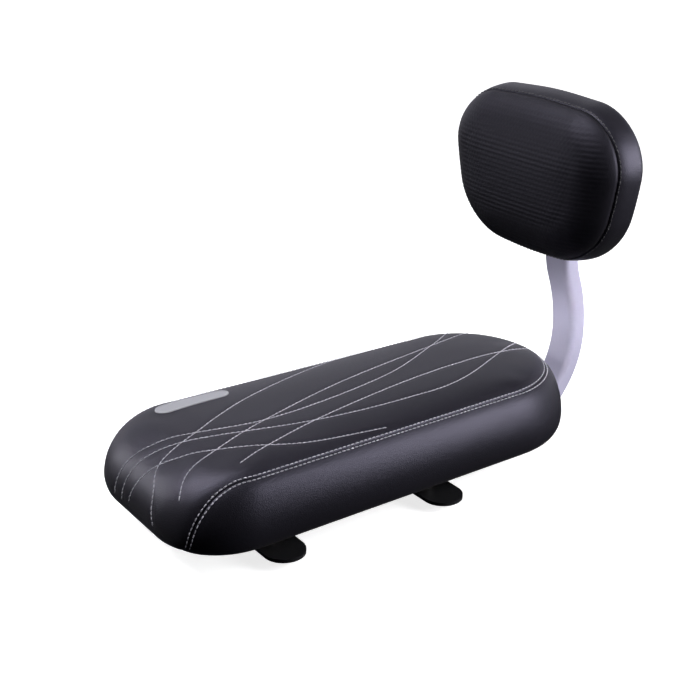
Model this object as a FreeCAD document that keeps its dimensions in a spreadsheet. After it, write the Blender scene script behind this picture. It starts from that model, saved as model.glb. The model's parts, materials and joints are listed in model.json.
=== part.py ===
"""Child seat for a bicycle's rear rack: padded seat, padded backrest, bent tube bracket and rack clamps.

Frame: +Z up, the nose of the seat towards -Y, the backrest at +Y, the origin in the middle of the seat's
underside, which lies on the rack. All lengths are in millimetres and all angles in degrees.
"""
import FreeCAD
import Part
import Sketcher
import math
import os

# Driving sizes: name, value, meaning
SIZES = [
    ("seat_length", 340, "nose to back of the seat"),
    ("seat_front_width", 155, "width across the front part"),
    ("seat_rear_width", 148, "width across the rear part, whose end is a half circle"),
    ("nose_corner_radius", 50, "plan radius of the two front corners"),
    ("seat_height", 50.5, "underside to top"),
    ("seat_belly", 12, "height of the widest outline"),
    ("seat_tuck", 8, "how far the lower edge turns in"),
    ("shoulder_run", 27, "how far the upper edge rounds in along the sides and back"),
    ("nose_run", 39, "how far the upper edge rounds in at the nose"),
    ("cover_thickness", 1.5, "leather cover"),
    ("hem_width", 18, "turned-in edge of the cover under the board"),
    ("seam_drop", 5, "seam between top panel and side band, below the top"),
    ("seam_setback", 10, "upright run of the seam, behind the nose"),
    ("seam_radius", 40, "side view radius of the seam between its level and upright runs"),
    ("board_thickness", 9, "plywood board of the seat"),
    ("board_margin", 0.5, "edge of a board inside the cover"),
    ("sheet_fit", 0.3, "gap round the dust cover"),
    ("label_length", 54, "stadium label on the top panel"),
    ("label_width", 15, "stadium label on the top panel"),
    ("label_thickness", 0.6, "stadium label on the top panel"),
    ("label_margin", 5.5, "label's middle line, inside the rounded shoulder at -X"),
    ("label_setback", 71, "label's centre, behind the seat's nose"),
    ("rail_gap", 12, "room for a rack rail between the underside and a clamp bar"),
    ("clamp_inset", 2.5, "end of a clamp bar, inside the seat's widest side"),
    ("clamp_width", 28, "clamp bar along Y"),
    ("clamp_thickness", 2.5, "clamp bar"),
    ("clamp_bolt_inset", 32.5, "clamp bolt's axis, inside the seat's widest side"),
    ("clamp_pitch", 126, "front to rear clamp bar"),
    ("clamp_gap", 5.5, "rear clamp bar in front of the foot's plug"),
    ("bolt_diameter", 6, "all bolts"),
    ("bolt_fit", 0.3, "gap round a bolt in its hole"),
    ("bolt_head_width", 10, "across flats"),
    ("bolt_head_height", 4, "hexagon head"),
    ("bolt_tip", 1.5, "bolt standing out past its tee nut"),
    ("washer_diameter", 16, "all washers"),
    ("washer_thickness", 1.5, "all washers"),
    ("foot_washer_thickness", 2.2, "thicker washers under the bracket's foot"),
    ("tee_flange", 18, "tee nut flange diameter"),
    ("tee_flange_thickness", 1.5, "tee nut flange"),
    ("tee_barrel", 8, "tee nut barrel diameter"),
    ("thread_fit", 0.05, "gap between a bolt and its tee nut"),
    ("tee_end_gap", 1, "barrel shorter than its board"),
    ("tee_fit", 0.1, "gap round a barrel in its board"),
    ("foam_fit", 0.3, "gap round the hardware in the foam"),
    ("tube_width", 24, "bracket tube across X"),
    ("tube_depth", 14, "bracket tube in its bending plane"),
    ("tube_wall", 1.8, "bracket tube"),
    ("tube_corner", 4, "outer corner radius of the tube"),
    ("foot_length", 110.5, "straight part of the bracket's foot"),
    ("foot_bend_gap", 0.5, "where the foot starts to bend up, behind the seat's flat underside"),
    ("foot_bend_radius", 17.5, "first bend, on the tube's middle line"),
    ("foot_bend_turn", 38.5, "angle of the first bend"),
    ("lower_bow_radius", 69.5, "bow from the first bend to upright"),
    ("upper_bow_radius", 120, "bow from upright, leaning forward"),
    ("neck_radius", 70, "counter bend into the upright run behind the backrest"),
    ("tube_reach", 19, "upper end of the tube above the backrest's middle"),
    ("foot_bolt_inset", 24, "front foot bolt from the foot's front end"),
    ("foot_bolt_pitch", 52, "front to rear foot bolt"),
    ("pad_fit", 0.5, "gap round the foot's rubber pad"),
    ("plug_flange", 1.5, "end plug outside the tube"),
    ("plug_depth", 12, "end plug inside the tube"),
    ("plug_fit", 0.15, "gap between plug and tube"),
    ("back_setback", 11, "rear face of the backrest behind the seat"),
    ("back_middle", 176.3, "middle height of the backrest above the seat's underside"),
    ("back_height", 115.5, "backrest"),
    ("back_depth", 44, "backrest, rear panel included"),
    ("back_top_width", 166, "backrest across its upper corners"),
    ("back_bottom_width", 157, "backrest across its lower corners"),
    ("back_top_radius", 41, "upper corner radius"),
    ("back_bottom_radius", 50, "lower corner radius"),
    ("back_belly", 6, "depth of the widest outline in front of the cover's rear edge"),
    ("back_tuck", 7, "how far the rear edge turns in"),
    ("back_front_run", 31, "how far the front edge rounds in"),
    ("back_hem", 14, "turned-in edge of the backrest's cover"),
    ("back_panel_thickness", 2, "rear panel"),
    ("back_panel_inset", 3, "rear panel's edge inside the cover's rear edge"),
    ("back_seam_depth", 25, "seam between border and front panel, in front of the rear face"),
    ("back_board_thickness", 8, "plywood board of the backrest"),
    ("back_bolt_drop", 31, "lower backrest bolt below the backrest's middle"),
    ("back_bolt_pitch", 32, "lower to upper backrest bolt"),
    ("staple_crown", 10, "staple across"),
    ("staple_wire", 1.2, "staple wire"),
    ("staple_leg", 7, "staple leg"),
    ("side_staple_count", 7, "staples along each side"),
    ("side_staple_run", 200, "first to last staple along a side"),
    ("nose_staple_count", 3, "staples across the nose"),
    ("nose_staple_run", 50, "first to last staple across the nose"),
]

# Turn of the cushions' edge curve at each outline, from the lower or rear face to the upper or front face
EDGE_TURNS = [-90, -45, 0, 25, 48, 68, 90]

# Places along Y and Z, and sizes, that several pieces share
REAR_ARC_ALONG = "(sizes.seat_length - sizes.seat_rear_width) / 2"
HEM_INSET = "(sizes.seat_tuck + sizes.hem_width)"
BOARD_INSET = "sizes.seat_tuck + sizes.cover_thickness + sizes.board_margin"
BOARD_TOP = "(sizes.cover_thickness + sizes.board_thickness)"
BEND_START = "(sizes.seat_length / 2 - sizes.seat_tuck + sizes.foot_bend_gap)"
FOOT_FRONT = f"({BEND_START} - sizes.foot_length)"
FOOT_MIDDLE = "(-sizes.tube_depth / 2)"
BACK_PLANE = "(sizes.seat_length / 2 + sizes.back_setback)"
BACK_COVER_REAR = f"({BACK_PLANE} - sizes.back_panel_thickness)"
BACK_BOARD_REAR = f"({BACK_COVER_REAR} - sizes.cover_thickness)"
BACK_BOARD_FRONT = f"({BACK_BOARD_REAR} - sizes.back_board_thickness)"
BACK_BOARD_INSET = "sizes.back_tuck + sizes.cover_thickness + sizes.board_margin"
TUBE_UPRIGHT = f"({BACK_PLANE} + sizes.tube_depth / 2)"
TUBE_TOP = "(sizes.back_middle + sizes.tube_reach)"
BEND_RADII = ["foot_bend_radius", "lower_bow_radius", "upper_bow_radius", "neck_radius"]
BOLT_HOLE = "(sizes.bolt_diameter + 2 * sizes.bolt_fit)"
BOLT_END = "(sizes.tee_flange_thickness + sizes.bolt_tip)"
TEE_BORE = "(sizes.bolt_diameter + 2 * sizes.thread_fit)"
TEE_HOLE = "(sizes.tee_barrel + 2 * sizes.tee_fit)"
TEE_ROOM = "(sizes.tee_flange + 2 * sizes.foam_fit)"

# Places of the fasteners, across and along their sketches
CLAMP_REAR = f"({FOOT_FRONT} - sizes.plug_flange - sizes.clamp_gap - sizes.clamp_width / 2)"
CLAMP_FRONT = f"({CLAMP_REAR} - sizes.clamp_pitch)"
CLAMP_ACROSS = "(sizes.seat_front_width / 2 - sizes.clamp_bolt_inset)"
CLAMP_SIDES = [f"-{CLAMP_ACROSS}", CLAMP_ACROSS]
CLAMP_PLACES = [(side, along) for along in (CLAMP_FRONT, CLAMP_REAR) for side in CLAMP_SIDES]
FOOT_BOLT = f"{FOOT_FRONT} + sizes.foot_bolt_inset"
FOOT_PLACES = [("0", FOOT_BOLT), ("0", f"{FOOT_BOLT} + sizes.foot_bolt_pitch")]
BACK_BOLT = "sizes.back_middle - sizes.back_bolt_drop"
BACK_PLACES = [("0", BACK_BOLT), ("0", f"{BACK_BOLT} + sizes.back_bolt_pitch")]

doc = FreeCAD.newDocument("child_rack_seat")
sheet = doc.addObject("Spreadsheet::Sheet", "sizes")
for row, (alias, value, meaning) in enumerate(SIZES, start=1):
    sheet.set(f"A{row}", alias)
    sheet.set(f"B{row}", str(value))
    sheet.set(f"C{row}", meaning)
    sheet.setAlias(f"B{row}", alias)
doc.recompute()


def number(expression):
    """Value of an expression over the sheet."""
    return float(sheet.evalExpression(expression))


def new_body(name):
    """A body that may hold several separate solids."""
    body = doc.addObject("PartDesign::Body", name)
    body.AllowCompound = True
    return body


def new_sketch(body, name, plane, offset="0"):
    """A sketch on one of the body's own planes, moved along that plane's normal."""
    sketch = body.newObject("Sketcher::SketchObject", name)
    support = next(item for item in body.Origin.OriginFeatures if item.Role == plane)
    sketch.AttachmentSupport = (support, [""])
    sketch.MapMode = "FlatFace"
    sketch.setExpression("AttachmentOffset.Base.z", offset)
    return sketch


def bind(sketch, kind, references, expression):
    """Adds a dimension that follows an expression."""
    index = sketch.addConstraint(Sketcher.Constraint(kind, *references, number(expression)))
    sketch.setExpression(f"Constraints[{index}]", expression)


def bind_point(sketch, geometry, position, across, along):
    """Ties a point of the sketch to two coordinates given as expressions."""
    for kind, expression, axis in (("DistanceX", across, -2), ("DistanceY", along, -1)):
        value = number(expression)
        if value == 0:
            sketch.addConstraint(Sketcher.Constraint("PointOnObject", geometry, position, axis))
        elif value > 0:
            bind(sketch, kind, (-1, 1, geometry, position), expression)
        else:
            bind(sketch, kind, (geometry, position, -1, 1), f"-({expression})")


def join_smoothly(sketch, first, count):
    """Makes each edge of a closed run tangent to the next one."""
    for step in range(count):
        here = first + step
        after = first + (step + 1) % count
        sketch.addConstraint(Sketcher.Constraint("Tangent", here, 2, after, 1))


def arc(centre, radius, start, end):
    """Arc of a circle, anticlockwise from start to end, in radians."""
    return Part.ArcOfCircle(Part.Circle(centre, FreeCAD.Vector(0, 0, 1), radius), start, end)


def flat(across, along):
    """Point in a sketch's plane."""
    return FreeCAD.Vector(across, along, 0)


def on_circle(centre, radius, angle):
    """Point of a circle in a sketch's plane."""
    return centre + flat(radius * math.cos(angle), radius * math.sin(angle))


def tangent_angle(lower, lower_radius, upper, upper_radius):
    """Direction in which a line touches the right-hand sides of two circles."""
    span = upper - lower
    lean = math.acos((lower_radius - upper_radius) / span.Length)
    return math.atan2(span.y, span.x) - lean


def add_circle(sketch, across, along, diameter):
    """Circle tied to its centre and diameter."""
    circle = Part.Circle(flat(number(across), number(along)), FreeCAD.Vector(0, 0, 1), number(diameter) / 2)
    index = sketch.addGeometry(circle, False)
    bind_point(sketch, index, 3, across, along)
    bind(sketch, "Diameter", (index,), diameter)


def add_hexagon(sketch, across, along, flats):
    """Regular hexagon tied to its centre and its width across flats, two sides along X."""
    centre = flat(number(across), number(along))
    radius = number(flats) / math.sqrt(3)
    corners = [on_circle(centre, radius, math.radians(60 * step)) for step in range(6)]
    first = sketch.GeometryCount
    for step in range(6):
        sketch.addGeometry(Part.LineSegment(corners[step], corners[(step + 1) % 6]), False)
    guide = sketch.addGeometry(Part.Circle(centre, FreeCAD.Vector(0, 0, 1), radius), True)
    for step in range(6):
        sketch.addConstraint(Sketcher.Constraint("Coincident", first + step, 2, first + (step + 1) % 6, 1))
        sketch.addConstraint(Sketcher.Constraint("PointOnObject", first + step, 1, guide))
    for step in range(1, 6):
        sketch.addConstraint(Sketcher.Constraint("Equal", first, first + step))
    sketch.addConstraint(Sketcher.Constraint("Horizontal", first + 1))
    bind_point(sketch, guide, 3, across, along)
    bind(sketch, "Radius", (guide,), f"({flats}) / sqrt(3)")


def add_rectangle(sketch, across, along, width, height, corner=None):
    """Rectangle about a centre, with rounded corners where a radius is given."""
    middle = flat(number(across), number(along))
    half_width = number(width) / 2
    half_height = number(height) / 2
    radius = number(corner) if corner else 0
    first = sketch.GeometryCount
    corners = [(1, -1), (1, 1), (-1, 1), (-1, -1)]
    points = [middle + flat(x * half_width, y * half_height) for x, y in corners]
    if not corner:
        for step in range(4):
            sketch.addGeometry(Part.LineSegment(points[step - 1], points[step]), False)
        for step in range(4):
            after = first + (step + 1) % 4
            sketch.addConstraint(Sketcher.Constraint("Coincident", first + step, 2, after, 1))
        for step, kind in enumerate(("Horizontal", "Vertical", "Horizontal", "Vertical")):
            sketch.addConstraint(Sketcher.Constraint(kind, first + step))
        bind_point(sketch, first, 1, f"({across}) - ({width}) / 2", f"({along}) - ({height}) / 2")
        bind(sketch, "Distance", (first,), width)
        bind(sketch, "Distance", (first + 1,), height)
        return
    centres = [middle + flat(x * (half_width - radius), y * (half_height - radius)) for x, y in corners]
    for step in range(4):
        start = math.radians(90 * (step - 1))
        before = on_circle(centres[step - 1], radius, start)
        after = on_circle(centres[step], radius, start)
        sketch.addGeometry(Part.LineSegment(before, after), False)
        sketch.addGeometry(arc(centres[step], radius, start, start + math.pi / 2), False)
    join_smoothly(sketch, first, 8)
    for step, kind in enumerate(("Horizontal", "Vertical", "Horizontal")):
        sketch.addConstraint(Sketcher.Constraint(kind, first + 2 * step))
    for step in range(4):
        bind(sketch, "Radius", (first + 2 * step + 1,), corner)
    right = f"({across}) + ({width}) / 2 - {corner}"
    low = f"({along}) - ({height}) / 2 + {corner}"
    bind_point(sketch, first + 1, 3, right, low)
    bind(sketch, "DistanceX", (first + 5, 3, first + 1, 3), f"({width}) - 2 * {corner}")
    bind(sketch, "DistanceY", (first + 1, 3, first + 5, 3), f"({height}) - 2 * {corner}")


def add_stadium(sketch, across, along, length, width, upright):
    """Slot with round ends about a centre, long in the sketch's second direction where upright."""
    radius = number(width) / 2
    reach = f"(({length}) - ({width})) / 2"
    turn = math.pi / 2 if upright else 0
    middle = flat(number(across), number(along))
    head = on_circle(middle, number(reach), turn)
    tail = on_circle(middle, number(reach), turn + math.pi)
    first = sketch.GeometryCount
    quarter = math.pi / 2
    sketch.addGeometry(arc(head, radius, turn - quarter, turn + quarter), False)
    ends = [on_circle(head, radius, turn + quarter), on_circle(tail, radius, turn + quarter)]
    sketch.addGeometry(Part.LineSegment(*ends), False)
    sketch.addGeometry(arc(tail, radius, turn + quarter, turn + 3 * quarter), False)
    ends = [on_circle(tail, radius, turn - quarter), on_circle(head, radius, turn - quarter)]
    sketch.addGeometry(Part.LineSegment(*ends), False)
    join_smoothly(sketch, first, 4)
    for index, side in ((first, "+"), (first + 2, "-")):
        if upright:
            bind_point(sketch, index, 3, across, f"({along}) {side} {reach}")
        else:
            bind_point(sketch, index, 3, f"({across}) {side} {reach}", along)
    bind(sketch, "Radius", (first,), f"({width}) / 2")
    sketch.addConstraint(Sketcher.Constraint("Equal", first, first + 2))


def pad(body, sketch, length):
    """Pads a sketch along its normal."""
    feature = body.newObject("PartDesign::Pad", sketch.Name + "_pad")
    feature.Profile = sketch
    feature.setExpression("Length", length)
    return feature


def cut_through(body, sketch):
    """Cuts a sketch through the whole body, both ways."""
    feature = body.newObject("PartDesign::Pocket", sketch.Name + "_cut")
    feature.Profile = sketch
    feature.Type = "ThroughAll"
    feature.Midplane = True
    return feature


def cut(name, base, *tools):
    """Takes tools away from a shape, one after another."""
    for step, tool in enumerate(tools, start=1):
        feature = doc.addObject("Part::Cut", name if step == len(tools) else f"{name}_step_{step}")
        feature.Base = base
        feature.Tool = tool
        base = feature
    return base


def common(name, base, tool):
    """Keeps what two shapes share."""
    feature = doc.addObject("Part::Common", name)
    feature.Base = base
    feature.Tool = tool
    return feature


def seat_outline(body, name, height, side_inset, nose_inset):
    """Plan outline of the seat at a height: straight nose, round corners, tapered sides, round back."""
    sketch = new_sketch(body, name, "XY_Plane", height)
    corner_radius = f"sizes.nose_corner_radius - ({side_inset})"
    rear_radius = f"sizes.seat_rear_width / 2 - ({side_inset})"
    corner_across = "sizes.seat_front_width / 2 - sizes.nose_corner_radius"
    nose_along = f"sizes.seat_length / 2 - ({nose_inset})"
    small = number(corner_radius)
    large = number(rear_radius)
    right = flat(number(corner_across), small - number(nose_along))
    left = flat(-right.x, right.y)
    rear = flat(0, number(REAR_ARC_ALONG))
    lean = tangent_angle(right, small, rear, large)
    bottom = -math.pi / 2
    ends = [on_circle(left, small, bottom), on_circle(right, small, bottom)]
    sketch.addGeometry(Part.LineSegment(*ends), False)
    sketch.addGeometry(arc(right, small, bottom, lean), False)
    sketch.addGeometry(Part.LineSegment(on_circle(right, small, lean), on_circle(rear, large, lean)), False)
    sketch.addGeometry(arc(rear, large, lean, math.pi - lean), False)
    other = math.pi - lean
    sketch.addGeometry(Part.LineSegment(on_circle(rear, large, other), on_circle(left, small, other)), False)
    sketch.addGeometry(arc(left, small, other, bottom + 2 * math.pi), False)
    join_smoothly(sketch, 0, 6)
    sketch.addConstraint(Sketcher.Constraint("Symmetric", 0, 1, 0, 2, -2))
    sketch.addConstraint(Sketcher.Constraint("Equal", 1, 5))
    bind(sketch, "Radius", (1,), corner_radius)
    bind(sketch, "Radius", (3,), rear_radius)
    bind_point(sketch, 3, 3, "0", REAR_ARC_ALONG)
    bind(sketch, "DistanceX", (-1, 1, 1, 3), corner_across)
    bind(sketch, "DistanceY", (0, 1, -1, 1), nose_along)
    return sketch


def back_outline(body, name, behind, inset):
    """Front outline of the backrest at a distance behind the middle: a rounded shape, wider at the top."""
    sketch = new_sketch(body, name, "XZ_Plane", f"-({behind})")
    low_radius = f"sizes.back_bottom_radius - ({inset})"
    high_radius = f"sizes.back_top_radius - ({inset})"
    low_across = "sizes.back_bottom_width / 2 - sizes.back_bottom_radius"
    high_across = "sizes.back_top_width / 2 - sizes.back_top_radius"
    low_edge = f"sizes.back_middle - sizes.back_height / 2 + ({inset})"
    high_edge = f"sizes.back_middle + sizes.back_height / 2 - ({inset})"
    small = number(high_radius)
    large = number(low_radius)
    low_right = flat(number(low_across), number(low_edge) + large)
    high_right = flat(number(high_across), number(high_edge) - small)
    low_left = flat(-low_right.x, low_right.y)
    high_left = flat(-high_right.x, high_right.y)
    lean = tangent_angle(low_right, large, high_right, small)
    up = math.pi / 2
    other = math.pi - lean
    ends = [on_circle(low_left, large, -up), on_circle(low_right, large, -up)]
    sketch.addGeometry(Part.LineSegment(*ends), False)
    sketch.addGeometry(arc(low_right, large, -up, lean), False)
    ends = [on_circle(low_right, large, lean), on_circle(high_right, small, lean)]
    sketch.addGeometry(Part.LineSegment(*ends), False)
    sketch.addGeometry(arc(high_right, small, lean, up), False)
    ends = [on_circle(high_right, small, up), on_circle(high_left, small, up)]
    sketch.addGeometry(Part.LineSegment(*ends), False)
    sketch.addGeometry(arc(high_left, small, up, other), False)
    ends = [on_circle(high_left, small, other), on_circle(low_left, large, other)]
    sketch.addGeometry(Part.LineSegment(*ends), False)
    sketch.addGeometry(arc(low_left, large, other, 3 * up), False)
    join_smoothly(sketch, 0, 8)
    for line in (0, 4):
        sketch.addConstraint(Sketcher.Constraint("Symmetric", line, 1, line, 2, -2))
    sketch.addConstraint(Sketcher.Constraint("Equal", 1, 7))
    sketch.addConstraint(Sketcher.Constraint("Equal", 3, 5))
    bind(sketch, "Radius", (1,), low_radius)
    bind(sketch, "Radius", (3,), high_radius)
    bind(sketch, "DistanceX", (-1, 1, 1, 3), low_across)
    bind(sketch, "DistanceX", (-1, 1, 3, 3), high_across)
    bind(sketch, "DistanceY", (-1, 1, 0, 1), low_edge)
    bind(sketch, "DistanceY", (-1, 1, 4, 1), high_edge)
    return sketch


def loft(body, sections):
    """Lofts a body through its outlines."""
    feature = body.newObject("PartDesign::AdditiveLoft", body.Name + "_loft")
    feature.Profile = sections[0]
    feature.Sections = sections[1:]
    return body


def seat_form(name, skin):
    """Cushion form of the seat, smaller by a skin all round."""
    body = new_body(name)
    sections = []
    for step, turn in enumerate(EDGE_TURNS):
        sine = f"sin({abs(turn)} deg)"
        easing = f"(1 - cos({turn} deg))"
        if turn < 0:
            height = f"sizes.seat_belly - (sizes.seat_belly - {skin}) * {sine}"
            side_inset = f"{skin} + sizes.seat_tuck * {easing}"
            nose_inset = side_inset
        else:
            height = f"sizes.seat_belly + (sizes.seat_height - sizes.seat_belly - {skin}) * {sine}"
            side_inset = f"{skin} + sizes.shoulder_run * {easing}"
            nose_inset = f"{skin} + sizes.nose_run * {easing}"
        sections.append(seat_outline(body, f"{name}_{step}", height, side_inset, nose_inset))
    return loft(body, sections)


def back_form(name, skin):
    """Cushion form of the backrest, smaller by a skin all round, in front of its rear panel."""
    body = new_body(name)
    belly = f"({BACK_COVER_REAR} - sizes.back_belly)"
    front = f"({BACK_PLANE} - sizes.back_depth)"
    sections = []
    for step, turn in enumerate(EDGE_TURNS):
        sine = f"sin({abs(turn)} deg)"
        easing = f"(1 - cos({turn} deg))"
        if turn < 0:
            behind = f"{belly} + (sizes.back_belly - {skin}) * {sine}"
            inset = f"{skin} + sizes.back_tuck * {easing}"
        else:
            behind = f"{belly} - ({belly} - {front} - {skin}) * {sine}"
            inset = f"{skin} + sizes.back_front_run * {easing}"
        sections.append(back_outline(body, f"{name}_{step}", behind, inset))
    return loft(body, sections)


def plate(name, outline, thickness, places, hole):
    """Pads an outline sketch of a body and cuts a round hole through it at each place."""
    body = outline.getParentGeoFeatureGroup()
    pad(body, outline, thickness)
    sketch = new_sketch(body, name + "_holes", outline.AttachmentSupport[0][0].Role)
    for across, along in places:
        add_circle(sketch, across, along, hole)
    cut_through(body, sketch)
    return body


def rings(name, plane, steps, places):
    """Stacked rings or discs at each place: steps of (offset, length, outer diameter, bore or None)."""
    body = new_body(name)
    for step, (offset, length, outer, bore) in enumerate(steps):
        sketch = new_sketch(body, f"{name}_{step}", plane, offset)
        for across, along in places:
            add_circle(sketch, across, along, outer)
            if bore:
                add_circle(sketch, across, along, bore)
        pad(body, sketch, length)
    return body


def bolts(name, plane, head_offset, shank_length, places):
    """Hexagon bolts at each place, with their heads starting at an offset and shanks beyond them."""
    body = new_body(name)
    heads = new_sketch(body, name + "_heads", plane, head_offset)
    for across, along in places:
        add_hexagon(heads, across, along, "sizes.bolt_head_width")
    pad(body, heads, "sizes.bolt_head_height")
    shanks = new_sketch(body, name + "_shanks", plane, f"{head_offset} + sizes.bolt_head_height")
    for across, along in places:
        add_circle(shanks, across, along, "sizes.bolt_diameter")
    pad(body, shanks, shank_length)
    return body


def board_outline(body, name):
    """Outline of the seat's board on its underside, inside the cover."""
    return seat_outline(body, name, "sizes.cover_thickness", BOARD_INSET, BOARD_INSET)


def make_seat_board():
    """Plywood board with holes for the tee nuts."""
    body = new_body("board_blank")
    outline = board_outline(body, "board_outline")
    return plate("board", outline, "sizes.board_thickness", CLAMP_PLACES + FOOT_PLACES, TEE_HOLE)


def make_dust_cover():
    """Thin sheet inside the hem, with bolt holes and a slot for the bracket's foot."""
    inset = f"{HEM_INSET} + sizes.sheet_fit"
    body = new_body("seat_dust_cover")
    outline = seat_outline(body, "dust_outline", "0", inset, inset)
    plate("dust", outline, "sizes.cover_thickness", CLAMP_PLACES, BOLT_HOLE)
    slot = new_sketch(body, "dust_slot", "XY_Plane")
    front = f"({FOOT_FRONT} - sizes.plug_flange - sizes.pad_fit)"
    rear = "(sizes.seat_length / 2)"
    width = "sizes.tube_width + 2 * sizes.pad_fit"
    add_rectangle(slot, "0", f"({front} + {rear}) / 2", width, f"{rear} - {front}")
    cut_through(body, slot)
    return body


def make_foot_pad():
    """Rubber pad between the bracket's foot and the board, inside the dust cover's slot."""
    body = new_body("bracket_foot_pad")
    outline = new_sketch(body, "foot_pad_outline", "XY_Plane")
    hem_radius = f"(sizes.seat_rear_width / 2 - {HEM_INSET})"
    arc_rise = f"sqrt({hem_radius}^2 - sizes.tube_width^2 / 4)"
    rear = f"({REAR_ARC_ALONG} + {arc_rise} - sizes.pad_fit)"
    length = f"{rear} - {FOOT_FRONT}"
    add_rectangle(outline, "0", f"({rear} + {FOOT_FRONT}) / 2", "sizes.tube_width", length)
    return plate("foot_pad", outline, "sizes.cover_thickness", FOOT_PLACES, BOLT_HOLE)


def make_seat_staples():
    """Wire staples through the hem into the board: a row along each side and one across the nose."""
    body = new_body("staple_rows")
    middle = "(sizes.seat_tuck + sizes.hem_width / 2)"
    side_across = f"(sizes.seat_front_width + sizes.seat_rear_width) / 4 - {middle}"
    nose_along = f"-(sizes.seat_length / 2 - {middle})"
    rows = [
        ("side", side_across, "-sizes.side_staple_run / 2", False),
        ("nose", "-sizes.nose_staple_run / 2", nose_along, True),
    ]
    reach = "(sizes.staple_crown - sizes.staple_wire) / 2"
    for row_name, across, along, turned in rows:
        crown = new_sketch(body, f"staple_{row_name}_crown", "XY_Plane")
        size = ["sizes.staple_wire", "sizes.staple_crown"]
        if turned:
            size.reverse()
        add_rectangle(crown, across, along, *size)
        crown_pad = pad(body, crown, "sizes.staple_wire / 2")
        legs = new_sketch(body, f"staple_{row_name}_legs", "XY_Plane", "sizes.staple_wire / 2")
        for sign in ("+", "-"):
            place = [across, along]
            moved = 0 if turned else 1
            place[moved] = f"({place[moved]}) {sign} {reach}"
            add_rectangle(legs, *place, "sizes.staple_wire", "sizes.staple_wire")
        legs_pad = pad(body, legs, "sizes.staple_leg")
        doc.recompute()
        pattern = body.newObject("PartDesign::LinearPattern", f"staple_{row_name}_row")
        pattern.Originals = [crown_pad, legs_pad]
        pattern.Direction = (crown, ["H_Axis" if turned else "V_Axis"])
        pattern.setExpression("Length", f"sizes.{row_name}_staple_run")
        pattern.setExpression("Occurrences", f"sizes.{row_name}_staple_count")
        body.Tip = pattern
        doc.recompute()
    mirrored = doc.addObject("Part::Mirroring", "staples_other_side")
    mirrored.Source = body
    mirrored.Normal = FreeCAD.Vector(1, 0, 0)
    staples = doc.addObject("Part::MultiFuse", "seat_staples")
    staples.Shapes = [body, mirrored]
    return staples


def seam_tool():
    """Block on the side band's side of the seam: below the seam's level run and behind its upright run."""
    body = new_body("seat_band_side")
    sketch = new_sketch(body, "seam_side_view", "YZ_Plane")
    seam_height = "sizes.seat_height - sizes.seam_drop"
    seam_front = "sizes.seam_setback - sizes.seat_length / 2"
    level = number(seam_height)
    front = number(seam_front)
    radius = number("sizes.seam_radius")
    reach = number("sizes.seat_length")
    centre = flat(front + radius, level - radius)
    sketch.addGeometry(Part.LineSegment(flat(front, -reach), flat(front, centre.y)), False)
    sketch.addGeometry(arc(centre, radius, math.pi / 2, math.pi), False)
    sketch.addGeometry(Part.LineSegment(flat(centre.x, level), flat(reach, level)), False)
    sketch.addGeometry(Part.LineSegment(flat(reach, level), flat(reach, -reach)), False)
    sketch.addGeometry(Part.LineSegment(flat(reach, -reach), flat(front, -reach)), False)
    sketch.addConstraint(Sketcher.Constraint("Tangent", 0, 2, 1, 2))
    sketch.addConstraint(Sketcher.Constraint("Tangent", 1, 1, 2, 1))
    for before, after in ((2, 3), (3, 4), (4, 0)):
        sketch.addConstraint(Sketcher.Constraint("Coincident", before, 2, after, 1))
    for line, kind in ((0, "Vertical"), (2, "Horizontal"), (3, "Vertical"), (4, "Horizontal")):
        sketch.addConstraint(Sketcher.Constraint(kind, line))
    bind(sketch, "Radius", (1,), "sizes.seam_radius")
    bind_point(sketch, 0, 1, seam_front, "-sizes.seat_length")
    bind_point(sketch, 2, 2, "sizes.seat_length", seam_height)
    pad(body, sketch, "2 * sizes.seat_front_width").Midplane = True
    return body


def make_label(skin):
    """Thin stadium label that follows the top panel's surface."""
    shell = cut("label_shell", seat_form("seat_label_form", "(-sizes.label_thickness)"), skin)
    prism = new_body("label_prism")
    stadium = new_sketch(prism, "label_outline", "XY_Plane", "sizes.seat_belly")
    size = ["sizes.label_length", "sizes.label_width"]
    across = "-(sizes.seat_front_width / 2 - sizes.shoulder_run - sizes.label_margin)"
    along = "-(sizes.seat_length / 2 - sizes.label_setback)"
    add_stadium(stadium, across, along, *size, upright=True)
    pad(prism, stadium, "sizes.seat_height")
    return common("seat_label", shell, prism)


def make_seat():
    """Board, foam, leather cover, label, dust cover, foot pad and staples of the seat."""
    skin = seat_form("seat_skin_form", "0")
    core = seat_form("seat_core_form", "sizes.cover_thickness")
    opening = new_body("seat_hem_opening")
    pad(opening, seat_outline(opening, "hem_opening", "0", HEM_INSET, HEM_INSET), BOARD_TOP)
    cover = cut("seat_cover", skin, core, opening)
    band_side = seam_tool()
    staples = make_seat_staples()
    board_room = new_body("board_room")
    room_outline = board_outline(board_room, "board_room_outline")
    pad(board_room, room_outline, "sizes.board_thickness")
    tee_room = rings("seat_tee_room", "XY_Plane", [
        (BOARD_TOP, f"{BOLT_END} + sizes.foam_fit", TEE_ROOM, None),
    ], CLAMP_PLACES + FOOT_PLACES)
    return {
        "seat_top_panel": cut("seat_top_panel", cover, band_side, staples),
        "seat_side_band": cut("seat_side_band", common("band_blank", cover, band_side), staples),
        "seat_foam": cut("seat_foam", core, board_room, tee_room),
        "seat_base_board": cut("seat_base_board", make_seat_board(), staples),
        "seat_dust_cover": make_dust_cover(),
        "seat_staples": staples,
        "seat_label": make_label(skin),
        "bracket_foot_pad": make_foot_pad(),
    }


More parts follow.
